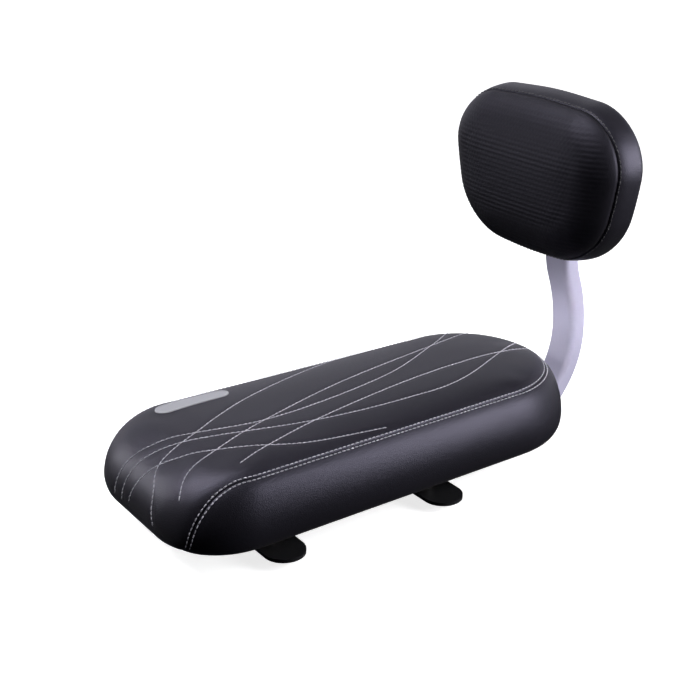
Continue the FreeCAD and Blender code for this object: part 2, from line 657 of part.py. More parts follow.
def make_clamps():
    """Two clamp bars with their bolts, washers and tee nuts."""
    pieces = {}
    bar_low = "-(sizes.rail_gap + sizes.clamp_thickness)"
    length = "sizes.seat_front_width - 2 * sizes.clamp_inset"
    for name, along in (("rack_clamp_front", CLAMP_FRONT), ("rack_clamp_rear", CLAMP_REAR)):
        body = new_body(name)
        outline = new_sketch(body, name + "_outline", "XY_Plane", bar_low)
        add_stadium(outline, "0", along, length, "sizes.clamp_width", upright=False)
        places = [(side, along) for side in CLAMP_SIDES]
        pieces[name] = plate(name, outline, "sizes.clamp_thickness", places, BOLT_HOLE)
    washer_low = f"{bar_low} - sizes.washer_thickness"
    pieces["clamp_washers"] = rings("clamp_washers", "XY_Plane", [
        (washer_low, "sizes.washer_thickness", "sizes.washer_diameter", BOLT_HOLE),
    ], CLAMP_PLACES)
    head_low = f"{washer_low} - sizes.bolt_head_height"
    shank = f"{BOARD_TOP} + {BOLT_END} - ({washer_low})"
    pieces["clamp_bolts"] = bolts("clamp_bolts", "XY_Plane", head_low, shank, CLAMP_PLACES)
    pieces["clamp_tee_nuts"] = make_tee_nuts("clamp_tee_nuts", CLAMP_PLACES)
    return pieces


def make_tee_nuts(name, places):
    """Tee nuts let into the seat's board from above."""
    barrel = "sizes.board_thickness - sizes.tee_end_gap"
    return rings(name, "XY_Plane", [
        (BOARD_TOP, "sizes.tee_flange_thickness", "sizes.tee_flange", TEE_BORE),
        (f"{BOARD_TOP} - ({barrel})", barrel, "sizes.tee_barrel", TEE_BORE),
    ], places)


def bracket_spine(body):
    """Middle line of the tube: level foot, three bends up and forward, counter bend, upright run."""
    sketch = new_sketch(body, "bracket_spine", "YZ_Plane")
    radii = [number(f"sizes.{name}") for name in BEND_RADII]
    here = flat(number(BEND_START), number(FOOT_MIDDLE))
    sketch.addGeometry(Part.LineSegment(flat(number(FOOT_FRONT), here.y), here), False)
    quarter = math.pi / 2
    first_turn = math.radians(number("sizes.foot_bend_turn"))
    rearmost = here.x + radii[0] * math.sin(first_turn) + radii[1] * (1 - math.sin(first_turn))
    lean = math.acos(1 - (rearmost - number(TUBE_UPRIGHT)) / (radii[2] + radii[3]))
    heading = 0
    for radius, turn in zip(radii, (first_turn, quarter - first_turn, lean)):
        centre = on_circle(here, radius, heading + quarter)
        sketch.addGeometry(arc(centre, radius, heading - quarter, heading + turn - quarter), False)
        heading += turn
        here = on_circle(centre, radius, heading - quarter)
    centre = on_circle(here, radii[3], heading - quarter)
    sketch.addGeometry(arc(centre, radii[3], heading + quarter - lean, heading + quarter), False)
    here = on_circle(centre, radii[3], heading + quarter - lean)
    sketch.addGeometry(Part.LineSegment(here, flat(here.x, number(TUBE_TOP))), False)
    for joint in ((0, 2, 1, 1), (1, 2, 2, 1), (2, 2, 3, 1), (3, 2, 4, 2), (4, 1, 5, 1)):
        sketch.addConstraint(Sketcher.Constraint("Tangent", *joint))
    sketch.addConstraint(Sketcher.Constraint("Horizontal", 0))
    sketch.addConstraint(Sketcher.Constraint("Vertical", 5))
    sketch.addConstraint(Sketcher.Constraint("Horizontal", 2, 3, 2, 2))
    bind_point(sketch, 0, 1, FOOT_FRONT, FOOT_MIDDLE)
    bind(sketch, "Distance", (0,), "sizes.foot_length")
    for index, name in enumerate(BEND_RADII, start=1):
        bind(sketch, "Radius", (index,), f"sizes.{name}")
    turn_index = sketch.addConstraint(Sketcher.Constraint("Angle", 1, first_turn))
    sketch.setExpression(f"Constraints[{turn_index}]", "sizes.foot_bend_turn * 1 deg")
    bind_point(sketch, 5, 2, TUBE_UPRIGHT, TUBE_TOP)
    return sketch


def tube_inside(inset):
    """Width, depth and corner radius of the tube's section, taken in by an inset."""
    sides = [f"sizes.{side} - 2 * ({inset})" for side in ("tube_width", "tube_depth")]
    return [*sides, f"(sizes.tube_corner - ({inset}))"]


def make_plug(name, plane, along, mouth):
    """End plug of the tube: a flange over its mouth and a stem inside it."""
    body = new_body(name)
    flange = new_sketch(body, name + "_flange", plane, mouth)
    add_rectangle(flange, "0", along, *tube_inside("0"))
    pad(body, flange, "sizes.plug_flange")
    stem = new_sketch(body, name + "_stem", plane, f"{mouth} - sizes.plug_depth")
    add_rectangle(stem, "0", along, *tube_inside("sizes.tube_wall + sizes.plug_fit"))
    pad(body, stem, "sizes.plug_depth")
    return body


def make_bracket():
    """Bent tube with bolt holes, its end plugs, and the bolts, washers and tee nuts at its foot."""
    body = new_body("backrest_bracket")
    spine = bracket_spine(body)
    section = new_sketch(body, "tube_section", "XZ_Plane", f"-{FOOT_FRONT}")
    add_rectangle(section, "0", FOOT_MIDDLE, "sizes.tube_width", "sizes.tube_depth", "sizes.tube_corner")
    add_rectangle(section, "0", FOOT_MIDDLE, *tube_inside("sizes.tube_wall"))
    pipe = body.newObject("PartDesign::AdditivePipe", "tube_pipe")
    pipe.Profile = section
    pipe.Spine = spine
    pipe.Mode = "Binormal"
    pipe.Binormal = FreeCAD.Vector(1, 0, 0)
    for name, plane, places in (("foot", "XY_Plane", FOOT_PLACES), ("back", "XZ_Plane", BACK_PLACES)):
        holes = new_sketch(body, f"tube_{name}_holes", plane)
        for across, along in places:
            add_circle(holes, across, along, BOLT_HOLE)
        cut_through(body, holes)

    washer_low = "-(sizes.tube_depth + sizes.foot_washer_thickness)"
    head_low = f"{washer_low} - sizes.bolt_head_height"
    shank = f"{BOARD_TOP} + {BOLT_END} - ({washer_low})"
    return {
        "backrest_bracket": body,
        "bracket_foot_plug": make_plug("bracket_foot_plug", "XZ_Plane", FOOT_MIDDLE, f"-{FOOT_FRONT}"),
        "bracket_top_plug": make_plug("bracket_top_plug", "XY_Plane", TUBE_UPRIGHT, TUBE_TOP),
        "foot_washers": rings("foot_washers", "XY_Plane", [
            (washer_low, "sizes.foot_washer_thickness", "sizes.washer_diameter", BOLT_HOLE),
        ], FOOT_PLACES),
        "foot_bolts": bolts("foot_bolts", "XY_Plane", head_low, shank, FOOT_PLACES),
        "foot_tee_nuts": make_tee_nuts("foot_tee_nuts", FOOT_PLACES),
    }


def make_backrest():
    """Board, foam, front panel, border, rear panel, bolts, washers and tee nuts of the backrest."""
    skin = back_form("back_skin_form", "0")
    core = back_form("back_core_form", "sizes.cover_thickness")
    opening = new_body("back_hem_opening")
    hem_inset = "sizes.back_tuck + sizes.back_hem"
    opening_outline = back_outline(opening, "back_opening", BACK_COVER_REAR, hem_inset)
    pad(opening, opening_outline, "sizes.cover_thickness + sizes.back_board_thickness")
    cover = cut("back_cover", skin, core, opening)

    border_side = new_body("back_border_side")
    border_sketch = new_sketch(border_side, "border_side", "XZ_Plane", f"-{BACK_PLANE}")
    block_size = ["2 * sizes.back_top_width", "2 * sizes.back_height"]
    add_rectangle(border_sketch, "0", "sizes.back_middle", *block_size)
    pad(border_side, border_sketch, "sizes.back_seam_depth")

    board_outline = back_outline(
        new_body("backrest_board"), "back_board_outline", BACK_BOARD_REAR, BACK_BOARD_INSET)
    board = plate("back_board", board_outline, "sizes.back_board_thickness", BACK_PLACES, TEE_HOLE)
    board_room = new_body("back_board_room")
    room_outline = back_outline(board_room, "back_board_room_outline", BACK_BOARD_REAR, BACK_BOARD_INSET)
    pad(board_room, room_outline, "sizes.back_board_thickness")
    tee_room = rings("back_tee_room", "XZ_Plane", [
        (f"-{BACK_BOARD_FRONT}", f"{BOLT_END} + sizes.foam_fit", TEE_ROOM, None),
    ], BACK_PLACES)

    panel_inset = "sizes.back_tuck + sizes.back_panel_inset"
    panel_outline = back_outline(
        new_body("backrest_rear_panel"), "rear_panel_outline", BACK_PLANE, panel_inset)
    panel = plate("rear_panel", panel_outline, "sizes.back_panel_thickness", BACK_PLACES, BOLT_HOLE)

    washer_rear = f"({BACK_PLANE} + sizes.tube_depth + sizes.washer_thickness)"
    head_rear = f"({washer_rear} + sizes.bolt_head_height)"
    shank = f"{washer_rear} - {BACK_BOARD_FRONT} + {BOLT_END}"
    barrel = "sizes.back_board_thickness - sizes.tee_end_gap"
    return {
        "backrest_front_panel": cut("backrest_front_panel", cover, border_side),
        "backrest_border": common("backrest_border", cover, border_side),
        "backrest_foam": cut("backrest_foam", core, board_room, tee_room),
        "backrest_board": board,
        "backrest_rear_panel": panel,
        "backrest_washers": rings("backrest_washers", "XZ_Plane", [
            (f"-{washer_rear}", "sizes.washer_thickness", "sizes.washer_diameter", BOLT_HOLE),
        ], BACK_PLACES),
        "backrest_bolts": bolts("backrest_bolts", "XZ_Plane", f"-{head_rear}", shank, BACK_PLACES),
        "backrest_tee_nuts": rings("backrest_tee_nuts", "XZ_Plane", [
            (f"-{BACK_BOARD_FRONT}", "sizes.tee_flange_thickness", "sizes.tee_flange", TEE_BORE),
            (f"-({BACK_BOARD_FRONT} + {barrel})", barrel, "sizes.tee_barrel", TEE_BORE),
        ], BACK_PLACES),
    }


def main():
    """Builds every piece, checks it and writes it to its own file."""
    pieces = {**make_seat(), **make_clamps(), **make_bracket(), **make_backrest()}
    doc.recompute()
    failed = [item.Name for item in doc.Objects if {"Invalid", "Error"} & set(item.State)]
    if failed:
        raise RuntimeError(f"failed objects: {failed}")
    for node, piece in pieces.items():
        if piece.Shape.isNull() or not piece.Shape.isValid() or not piece.Shape.Solids:
            raise RuntimeError(f"bad shape: {node}")
    os.makedirs("parts", exist_ok=True)
    for node, piece in pieces.items():
        piece.Label = node
        piece.Shape.exportStep(f"parts/{node}.step")
        print(node, len(piece.Shape.Solids), round(piece.Shape.Volume, 1))


main()
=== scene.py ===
"""Dresses a child's bicycle rack seat: a long padded seat, a small padded backrest and a bent tube."""

import json
import logging
import math
from dataclasses import dataclass, field
from enum import Enum
from typing import Callable, Dict, Iterable, Iterator, List, Optional, Sequence, Tuple, Union

import bmesh
import bpy
from mathutils import Matrix, Vector
from mathutils.bvhtree import BVHTree
from mathutils.kdtree import KDTree


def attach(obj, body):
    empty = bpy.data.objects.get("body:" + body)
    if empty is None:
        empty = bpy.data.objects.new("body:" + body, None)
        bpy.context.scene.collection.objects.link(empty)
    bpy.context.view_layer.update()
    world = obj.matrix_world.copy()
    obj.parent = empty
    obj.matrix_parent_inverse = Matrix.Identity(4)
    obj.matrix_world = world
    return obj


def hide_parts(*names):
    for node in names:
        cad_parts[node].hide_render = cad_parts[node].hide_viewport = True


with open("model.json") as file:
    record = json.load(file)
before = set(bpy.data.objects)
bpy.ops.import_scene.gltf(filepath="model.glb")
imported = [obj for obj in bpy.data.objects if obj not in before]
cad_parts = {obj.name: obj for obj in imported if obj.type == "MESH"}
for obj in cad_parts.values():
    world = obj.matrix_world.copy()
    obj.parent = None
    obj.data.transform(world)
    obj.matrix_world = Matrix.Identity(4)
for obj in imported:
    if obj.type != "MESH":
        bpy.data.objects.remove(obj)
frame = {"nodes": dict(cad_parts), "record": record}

log = logging.getLogger("rack_seat")

MM = 0.001
BODY = "root"
CLOTH_STEPS = 20
SEWN_REACH = 14.0  # millimetres over which a sewn line holds a cover in
WAVE_BANDS = 3.14  # bands that a wave texture draws across one unit, about

Face = Tuple[int, ...]
Spot = Tuple[float, float, float]
Socket = Union[bpy.types.NodeSocket, float, Tuple[float, ...]]


class Panel(Enum):
    """Panels of a sewn cover, in the order of their face marks."""

    FACE = 0
    BORDER = 1


class Slot(Enum):
    """Material slots of the record that show."""

    LEATHER = "cover_leather"
    DIMPLED = "dimpled_leather"
    PLYWOOD = "plywood"
    DUST_CLOTH = "dust_cloth"
    FOIL = "label_foil"
    RUBBER = "pad_rubber"
    CLAMP_PAINT = "clamp_paint"
    BRACKET_PAINT = "bracket_paint"
    PLASTIC = "plug_plastic"
    ZINC = "zinc_steel"


def linear(colour: str) -> Tuple[float, float, float, float]:
    """Turns an sRGB hex colour into linear light.

    Args:
        colour: Colour as six hex digits after a hash.

    Returns:
        Linear red, green, blue and an alpha of one.
    """
    parts = [int(colour[i:i + 2], 16) / 255 for i in (1, 3, 5)]
    light = [p / 12.92 if p <= 0.04045 else ((p + 0.055) / 1.055) ** 2.4 for p in parts]
    return (light[0], light[1], light[2], 1.0)


def add_node(
    owner: bpy.types.ID, kind: str, inputs: Optional[Dict[Union[str, int], Socket]] = None, **settings: object
) -> bpy.types.ShaderNode:
    """Adds one shader node with its settings, values and links.

    Args:
        owner: Material or world that the node joins.
        kind: Type of the node.
        inputs: Value or linked output for each input, by its name or number.
        **settings: Properties of the node.

    Returns:
        The new node.
    """
    node = owner.node_tree.nodes.new(kind)
    for key, value in settings.items():
        setattr(node, key, value)
    for key, value in (inputs or {}).items():
        if isinstance(value, bpy.types.NodeSocket):
            owner.node_tree.links.new(value, node.inputs[key])
        else:
            node.inputs[key].default_value = value
    return node


def per_metre(size: float) -> float:
    """Texture scale that gives a pattern of that size in millimetres."""
    return 1 / (size * MM)


@dataclass(frozen=True)
class Finish:
    """What all the finishes share: a name, a colour and how the surface shines.

    Args:
        name: What the material is and how it was made.
        colour: Main colour as sRGB hex.
        second: Colour of its lighter or darker parts.
        rough: Lowest and highest roughness.
    """

    name: str
    colour: str
    second: str
    rough: Tuple[float, float]

    def start(self) -> Tuple[bpy.types.Material, bpy.types.ShaderNode, bpy.types.NodeSocket]:
        """Makes the material with its shader.

        Returns:
            The material, its shader node and the coordinates on the object in metres.
        """
        material = bpy.data.materials.new(self.name)
        material.use_nodes = True
        material.diffuse_color = linear(self.colour)
        shader = material.node_tree.nodes["Principled BSDF"]
        place = add_node(material, "ShaderNodeTexCoord").outputs["Object"]
        return material, shader, place

    def spread(
        self, material: bpy.types.Material, shader: bpy.types.ShaderNode,
        colour_share: bpy.types.NodeSocket, rough_share: bpy.types.NodeSocket,
    ) -> None:
        """Spreads the two colours and the roughness over the surface by two patterns.

        Args:
            material: Material to work in.
            shader: Its shader node.
            colour_share: Pattern from 0, the main colour, to 1, the second.
            rough_share: Pattern from 0, the lowest roughness, to 1, the highest.
        """
        mix = add_node(
            material, "ShaderNodeMix",
            {0: colour_share, 6: linear(self.colour), 7: linear(self.second)}, data_type="RGBA")
        range_ = add_node(
            material, "ShaderNodeMapRange", {"Value": rough_share, 3: self.rough[0], 4: self.rough[1]})
        links = material.node_tree.links
        links.new(mix.outputs[2], shader.inputs["Base Color"])
        links.new(range_.outputs[0], shader.inputs["Roughness"])


@dataclass(frozen=True)
class Leatherette(Finish):
    """Coated leather cloth, its grain rolled into the warm coat.

    Args:
        grain: Width of a grain cell in millimetres.
        depth: Depth of the creases between the cells in millimetres.
        gloss: Strength of the shine, 0.5 for a usual plastic coat.
    """

    grain: float = 1.1
    depth: float = 0.12
    gloss: float = 0.45

    def build(self) -> bpy.types.Material:
        """Makes the material.

        Returns:
            Leatherette with creased grain, soft clouds of colour and a satin shine.
        """
        material, shader, place = self.start()
        # Fine rolled grain breaks the shine into a soft satin, and handling leaves faint lighter clouds
        drift = add_node(
            material, "ShaderNodeTexNoise", {"Vector": place, "Scale": per_metre(4.0), "Detail": 3.0})
        bent = add_node(
            material, "ShaderNodeMix", {0: 0.0012, 4: place, 5: drift.outputs["Color"]}, data_type="VECTOR")
        cells = add_node(
            material, "ShaderNodeTexVoronoi", {"Vector": bent.outputs[1], "Scale": per_metre(self.grain)},
            feature="DISTANCE_TO_EDGE")
        pebble = add_node(
            material, "ShaderNodeMapRange",
            {"Value": cells.outputs[0], 1: 0.0, 2: 0.28}, interpolation_type="SMOOTHSTEP")
        pores = add_node(
            material, "ShaderNodeTexNoise", {"Vector": place, "Scale": per_metre(0.5), "Detail": 2.0})
        relief = add_node(
            material, "ShaderNodeMath", {0: pebble.outputs[0], 1: pores.outputs[0]}, operation="ADD")
        bump = add_node(
            material, "ShaderNodeBump",
            {"Strength": 0.35, "Distance": self.depth * MM, "Height": relief.outputs[0]})
        clouds = add_node(
            material, "ShaderNodeTexNoise", {"Vector": place, "Scale": per_metre(45.0), "Detail": 4.0})
        self.spread(material, shader, clouds.outputs[0], pores.outputs[0])
        material.node_tree.links.new(bump.outputs[0], shader.inputs["Normal"])
        shader.inputs["IOR"].default_value = 1.5
        shader.inputs["Specular IOR Level"].default_value = self.gloss
        shader.inputs["Specular Tint"].default_value = linear("#dcd7f6")
        shader.inputs["Sheen Weight"].default_value = 0.03
        shader.inputs["Sheen Roughness"].default_value = 0.45
        return material


@dataclass(frozen=True)
class Thread(Finish):
    """Twisted polyester sewing thread.

    Args:
        ply: Distance between two turns of the twist in millimetres.
    """

    ply: float = 1.4

    def build(self) -> bpy.types.Material:
        """Makes the material.

        Returns:
            Thread with the slanted bands of its twist and a soft fibre sheen.
        """
        material, shader, place = self.start()
        # The twist shows as slanted bands, drawn a little coarser than real so that they show
        twist = add_node(
            material, "ShaderNodeTexWave",
            {"Vector": place, "Scale": per_metre(self.ply) / WAVE_BANDS, "Distortion": 1.5},
            bands_direction="DIAGONAL")
        fluff = add_node(material, "ShaderNodeTexNoise", {"Vector": place, "Scale": per_metre(0.4)})
        bump = add_node(
            material, "ShaderNodeBump",
            {"Strength": 0.4, "Distance": 0.12 * MM, "Height": twist.outputs["Fac"]})
        self.spread(material, shader, twist.outputs["Fac"], fluff.outputs[0])
        material.node_tree.links.new(bump.outputs[0], shader.inputs["Normal"])
        shader.inputs["IOR"].default_value = 1.55
        shader.inputs["Sheen Weight"].default_value = 0.3
        return material


@dataclass(frozen=True)
class Paint(Finish):
    """Sprayed and baked paint or powder coat on steel.

    Args:
        peel: Width of the coat's soft waves in millimetres.
        depth: Height of the waves in millimetres.
        metal: Share of metal flake in the coat.
        coat: Share of clear gloss over the colour.
    """

    peel: float = 2.2
    depth: float = 0.03
    metal: float = 0.0
    coat: float = 0.0

    def build(self) -> bpy.types.Material:
        """Makes the material.

        Returns:
            Paint with a soft orange peel and a faint unevenness of colour.
        """
        material, shader, place = self.start()
        # Baked paint levels out into shallow waves that wobble the highlights
        waves = add_node(
            material, "ShaderNodeTexNoise", {"Vector": place, "Scale": per_metre(self.peel), "Detail": 1.0})
        flakes = add_node(
            material, "ShaderNodeTexNoise", {"Vector": place, "Scale": per_metre(0.6), "Detail": 2.0})
        clouds = add_node(
            material, "ShaderNodeTexNoise", {"Vector": place, "Scale": per_metre(30.0), "Detail": 3.0})
        bump = add_node(
            material, "ShaderNodeBump",
            {"Strength": 0.3, "Distance": self.depth * MM, "Height": waves.outputs[0]})
        self.spread(material, shader, clouds.outputs[0], flakes.outputs[0])
        material.node_tree.links.new(bump.outputs[0], shader.inputs["Normal"])
        shader.inputs["Metallic"].default_value = self.metal
        shader.inputs["Coat Weight"].default_value = self.coat
        shader.inputs["Coat Roughness"].default_value = 0.12
        return material


@dataclass(frozen=True)
class Metal(Finish):
    """Bare or plated metal sheet and bolts.

    Args:
        stroke: Length of the drawing marks in millimetres.
    """

    stroke: float = 6.0

    def build(self) -> bpy.types.Material:
        """Makes the material.

        Returns:
            Metal with faint drawing marks and a plated, slightly clouded shine.
        """
        material, shader, place = self.start()
        # Drawing and plating leave fine marks along the part and faint clouds in the shine
        stretch = add_node(
            material, "ShaderNodeMapping", {"Vector": place, "Scale": (1.0, 0.08, 1.0)})
        marks = add_node(
            material, "ShaderNodeTexNoise",
            {"Vector": stretch.outputs[0], "Scale": per_metre(self.stroke / 12), "Detail": 4.0})
        clouds = add_node(
            material, "ShaderNodeTexNoise", {"Vector": place, "Scale": per_metre(self.stroke), "Detail": 3.0})
        bump = add_node(
            material, "ShaderNodeBump", {"Strength": 0.15, "Distance": 0.02 * MM, "Height": marks.outputs[0]})
        self.spread(material, shader, clouds.outputs[0], marks.outputs[0])
        material.node_tree.links.new(bump.outputs[0], shader.inputs["Normal"])
        shader.inputs["Metallic"].default_value = 1.0
        return material


@dataclass(frozen=True)
class Moulded(Finish):
    """Moulded plastic or rubber, or pressed paper.

    Args:
        texture: Width of the mould's texture in millimetres.
        depth: Depth of the texture in millimetres.
    """

    texture: float = 0.8
    depth: float = 0.05

    def build(self) -> bpy.types.Material:
        """Makes the material.

        Returns:
            Moulding with the fine spark texture of its mould.
        """
        material, shader, place = self.start()
        # The mould's eroded wall leaves an even fine texture that dulls the shine
        spark = add_node(
            material, "ShaderNodeTexNoise",
            {"Vector": place, "Scale": per_metre(self.texture), "Detail": 3.0})
        clouds = add_node(
            material, "ShaderNodeTexNoise", {"Vector": place, "Scale": per_metre(14.0), "Detail": 2.0})
        bump = add_node(
            material, "ShaderNodeBump",
            {"Strength": 0.4, "Distance": self.depth * MM, "Height": spark.outputs[0]})
        self.spread(material, shader, clouds.outputs[0], spark.outputs[0])
        material.node_tree.links.new(bump.outputs[0], shader.inputs["Normal"])
        return material


@dataclass(frozen=True)
class Felted(Finish):
    """Non-woven cloth of pressed fibres.

    Args:
        spot: Pitch of the pressed spots in millimetres.
    """

    spot: float = 1.6

    def build(self) -> bpy.types.Material:
        """Makes the material.

        Returns:
            Cloth with pressed spots between loose fibres.
        """
        material, shader, place = self.start()
        # Hot rollers press a grid of small shiny spots into the dull mat of fibres
        spots = add_node(
            material, "ShaderNodeTexVoronoi",
            {"Vector": place, "Scale": per_metre(self.spot), "Randomness": 0.15})
        fibres = add_node(
            material, "ShaderNodeTexNoise",
            {"Vector": place, "Scale": per_metre(0.7), "Detail": 6.0, "Distortion": 1.2})
        relief = add_node(
            material, "ShaderNodeMath", {0: spots.outputs[0], 1: fibres.outputs[0]}, operation="ADD")
        bump = add_node(
            material, "ShaderNodeBump", {"Strength": 0.6, "Distance": 0.2 * MM, "Height": relief.outputs[0]})
        self.spread(material, shader, fibres.outputs[0], spots.outputs[0])
        material.node_tree.links.new(bump.outputs[0], shader.inputs["Normal"])
        shader.inputs["Sheen Weight"].default_value = 0.2
        return material


@dataclass(frozen=True)
class Veneer(Finish):
    """Plywood with a rotary-cut face.

    Args:
        ring: Width of a growth ring in millimetres.
    """

    ring: float = 10.0

    def build(self) -> bpy.types.Material:
        """Makes the material.

        Returns:
            Wood with wavy growth rings and fine pores along the board.
        """
        material, shader, place = self.start()
        # A rotary cut peels the log, so the growth rings wander in wide waves along the board
        along = add_node(material, "ShaderNodeMapping", {"Vector": place, "Scale": (1.0, 0.15, 1.0)})
        rings = add_node(
            material, "ShaderNodeTexWave",
            {"Vector": along.outputs[0], "Scale": per_metre(self.ring) / WAVE_BANDS,
             "Distortion": 6.0, "Detail": 3.0})
        pores = add_node(
            material, "ShaderNodeTexNoise",
            {"Vector": along.outputs[0], "Scale": per_metre(0.6), "Detail": 4.0})
        bump = add_node(
            material, "ShaderNodeBump", {"Strength": 0.3, "Distance": 0.06 * MM, "Height": pores.outputs[0]})
        self.spread(material, shader, rings.outputs["Fac"], pores.outputs[0])
        material.node_tree.links.new(bump.outputs[0], shader.inputs["Normal"])
        return material


def lerp(start: float, end: float, share: float) -> float:
    """Value at a share of the way from start to end."""
    return start + (end - start) * share


def new_piece(name: str, points: Sequence[Vector], faces: Sequence[Face]) -> bpy.types.Object:
    """Makes a smooth-shaded mesh object.

    Args:
        name: Name of the piece.
        points: Its points in millimetres.
        faces: Point numbers of each face.

    Returns:
        The object, in the scene.
    """
    mesh = bpy.data.meshes.new(name)
    mesh.from_pydata([point * MM for point in points], [], faces)
    mesh.polygons.foreach_set("use_smooth", [True] * len(mesh.polygons))
    piece = bpy.data.objects.new(name, mesh)
    bpy.context.scene.collection.objects.link(piece)
    return piece


def apply_modifiers(piece: bpy.types.Object) -> None:
    """Makes the shape that a piece's modifiers give its own mesh.

    Args:
        piece: Piece with modifiers, which it loses.
    """
    bpy.context.view_layer.update()
    shown = piece.evaluated_get(bpy.context.evaluated_depsgraph_get())
    mesh = bpy.data.meshes.new_from_object(shown)
    old = piece.data
    piece.modifiers.clear()
    piece.data = mesh
    bpy.data.meshes.remove(old)
    mesh.name = piece.name


def refine(piece: bpy.types.Object, levels: int) -> None:
    """Divides a piece's faces smoothly."""
    modifier = piece.modifiers.new("smooth_faces", "SUBSURF")
    modifier.levels = levels
    modifier.render_levels = levels
    apply_modifiers(piece)


def thicken(piece: bpy.types.Object, thick: float) -> None:
    """Gives a sheet its thickness, inward."""
    modifier = piece.modifiers.new("sheet_thickness", "SOLIDIFY")
    modifier.thickness = thick * MM
    modifier.offset = -1.0
    apply_modifiers(piece)


def swell(piece: bpy.types.Object, sewn: Sequence[int], slack: float, cap: float) -> None:
    """Blows a cover up against its sewn lines, as foam fills it.

    Args:
        piece: Cover with even faces.
        sewn: Numbers of the points that stay where they are.
        slack: Millimetres that the cover starts inside its shape, away from the sewn lines.
        cap: Most millimetres that a point may move.
    """
    mesh = piece.data
    near = near_tree([mesh.vertices[i].co / MM for i in sewn])

    def start_depth(point: Vector) -> float:
        """Depth that a point of the cover starts at, below zero."""
        return -slack * (1 - math.exp(-((near.find(point)[2] / SEWN_REACH) ** 2)))

    push_along_normals(piece, start_depth)
    start = [vertex.co.copy() for vertex in mesh.vertices]
    group = piece.vertex_groups.new(name="sewn")
    group.add(list(sewn), 1.0, "REPLACE")
    cloth = piece.modifiers.new("stretched_cover", "CLOTH")
    cloth.settings.quality = 6
    cloth.settings.tension_stiffness = 12.0
    cloth.settings.compression_stiffness = 12.0
    cloth.settings.bending_stiffness = 1.5
    cloth.settings.use_pressure = True
    cloth.settings.uniform_pressure_force = 4.0
    cloth.settings.vertex_group_mass = group.name
    cloth.settings.effector_weights.gravity = 0.0
    cloth.point_cache.frame_start = 1
    cloth.point_cache.frame_end = CLOTH_STEPS
    scene = bpy.context.scene
    for moment in range(1, CLOTH_STEPS + 1):
        scene.frame_set(moment)
    shown = piece.evaluated_get(bpy.context.evaluated_depsgraph_get())
    blown = [vertex.co.copy() for vertex in shown.data.vertices]
    piece.modifiers.clear()
    piece.vertex_groups.clear()
    scene.frame_set(1)
    moves = []
    for vertex, old, new in zip(mesh.vertices, start, blown):
        move = (new - old) / MM
        share = cap * math.tanh(move.length / cap) / max(move.length, 1e-6)
        vertex.co = old + move * share * MM
        moves.append(move.length * share)
    mesh.update()
    mean = sum(moves) / len(moves)
    log.info("%s swelled by up to %.2f mm, %.2f mm on average", piece.name, max(moves), mean)


def push_along_normals(piece: bpy.types.Object, amount: Callable[[Vector], float]) -> None:
    """Moves each point of a piece along its normal.

    Args:
        piece: Piece to shape.
        amount: Millimetres outward for a point in millimetres.
    """
    mesh = piece.data
    normals = [normal.vector.copy() for normal in mesh.vertex_normals]
    for vertex, normal in zip(mesh.vertices, normals):
        vertex.co += normal * amount(vertex.co / MM) * MM
    mesh.update()


def split_panels(piece: bpy.types.Object, names: Dict[Panel, str]) -> Dict[Panel, bpy.types.Object]:
    """Parts a cover into its panels by the marks on its faces.

    Args:
        piece: Whole cover, which is removed.
        names: Name of each panel's piece.

    Returns:
        One piece for each panel.
    """
    parts: Dict[Panel, bpy.types.Object] = {}
    for panel, name in names.items():
        shape = bmesh.new()
        shape.from_mesh(piece.data)
        others = [face for face in shape.faces if face.material_index != panel.value]
        bmesh.ops.delete(shape, geom=others, context="FACES")
        for face in shape.faces:
            face.material_index = 0
        mesh = bpy.data.meshes.new(name)
        shape.to_mesh(mesh)
        shape.free()
        part = bpy.data.objects.new(name, mesh)
        bpy.context.scene.collection.objects.link(part)
        parts[panel] = part
    bpy.data.objects.remove(piece)
    return parts


def skin_of(pieces: Iterable[bpy.types.Object]) -> BVHTree:
    """Search tree of several pieces' faces, in millimetres."""
    points: List[Vector] = []
    faces: List[Face] = []
    for piece in pieces:
        first = len(points)
        points.extend(vertex.co / MM for vertex in piece.data.vertices)
        faces.extend(tuple(first + i for i in face.vertices) for face in piece.data.polygons)
    return BVHTree.FromPolygons(points, faces)


def near_tree(points: Sequence[Vector]) -> KDTree:
    """Search tree of points in millimetres."""
    tree = KDTree(len(points))
    for i, point in enumerate(points):
        tree.insert(point, i)
    tree.balance()
    return tree


def smooth_path(points: Sequence[Vector], step: float) -> List[Vector]:
    """Smooth line through points.

    Args:
        points: Points that it goes through.
        step: Distance between the points of the result, about.

    Returns:
        Closely set points along the line.
    """
    ends = [points[0] * 2 - points[1], *points, points[-1] * 2 - points[-2]]
    path: List[Vector] = []
    for before, here, there, after in zip(ends, ends[1:], ends[2:], ends[3:]):
        count = max(1, round((there - here).length / step))
        for i in range(count):
            t = i / count
            path.append(0.5 * (
                2 * here + (there - before) * t + (2 * before - 5 * here + 4 * there - after) * t * t
                + (3 * here - before - 3 * there + after) * t ** 3))
    path.append(points[-1].copy())
    return path


def ring_faces(rows: int, count: int) -> List[Face]:
    """Faces between closed rows of points.

    Args:
        rows: Number of rows, each inside the one before it.
        count: Points in a row.

    Returns:
        Point numbers of each face.
    """
    faces: List[Face] = []
    for low in range(0, (rows - 1) * count, count):
        for i in range(count):
            j = (i + 1) % count
            faces.append((low + i, low + j, low + count + j, low + count + i))
    return faces


def lengths(points: Sequence[Vector]) -> List[float]:
    """Length of a line up to each of its points."""
    reach = [0.0]
    for here, there in zip(points, points[1:]):
        reach.append(reach[-1] + (there - here).length)
    return reach


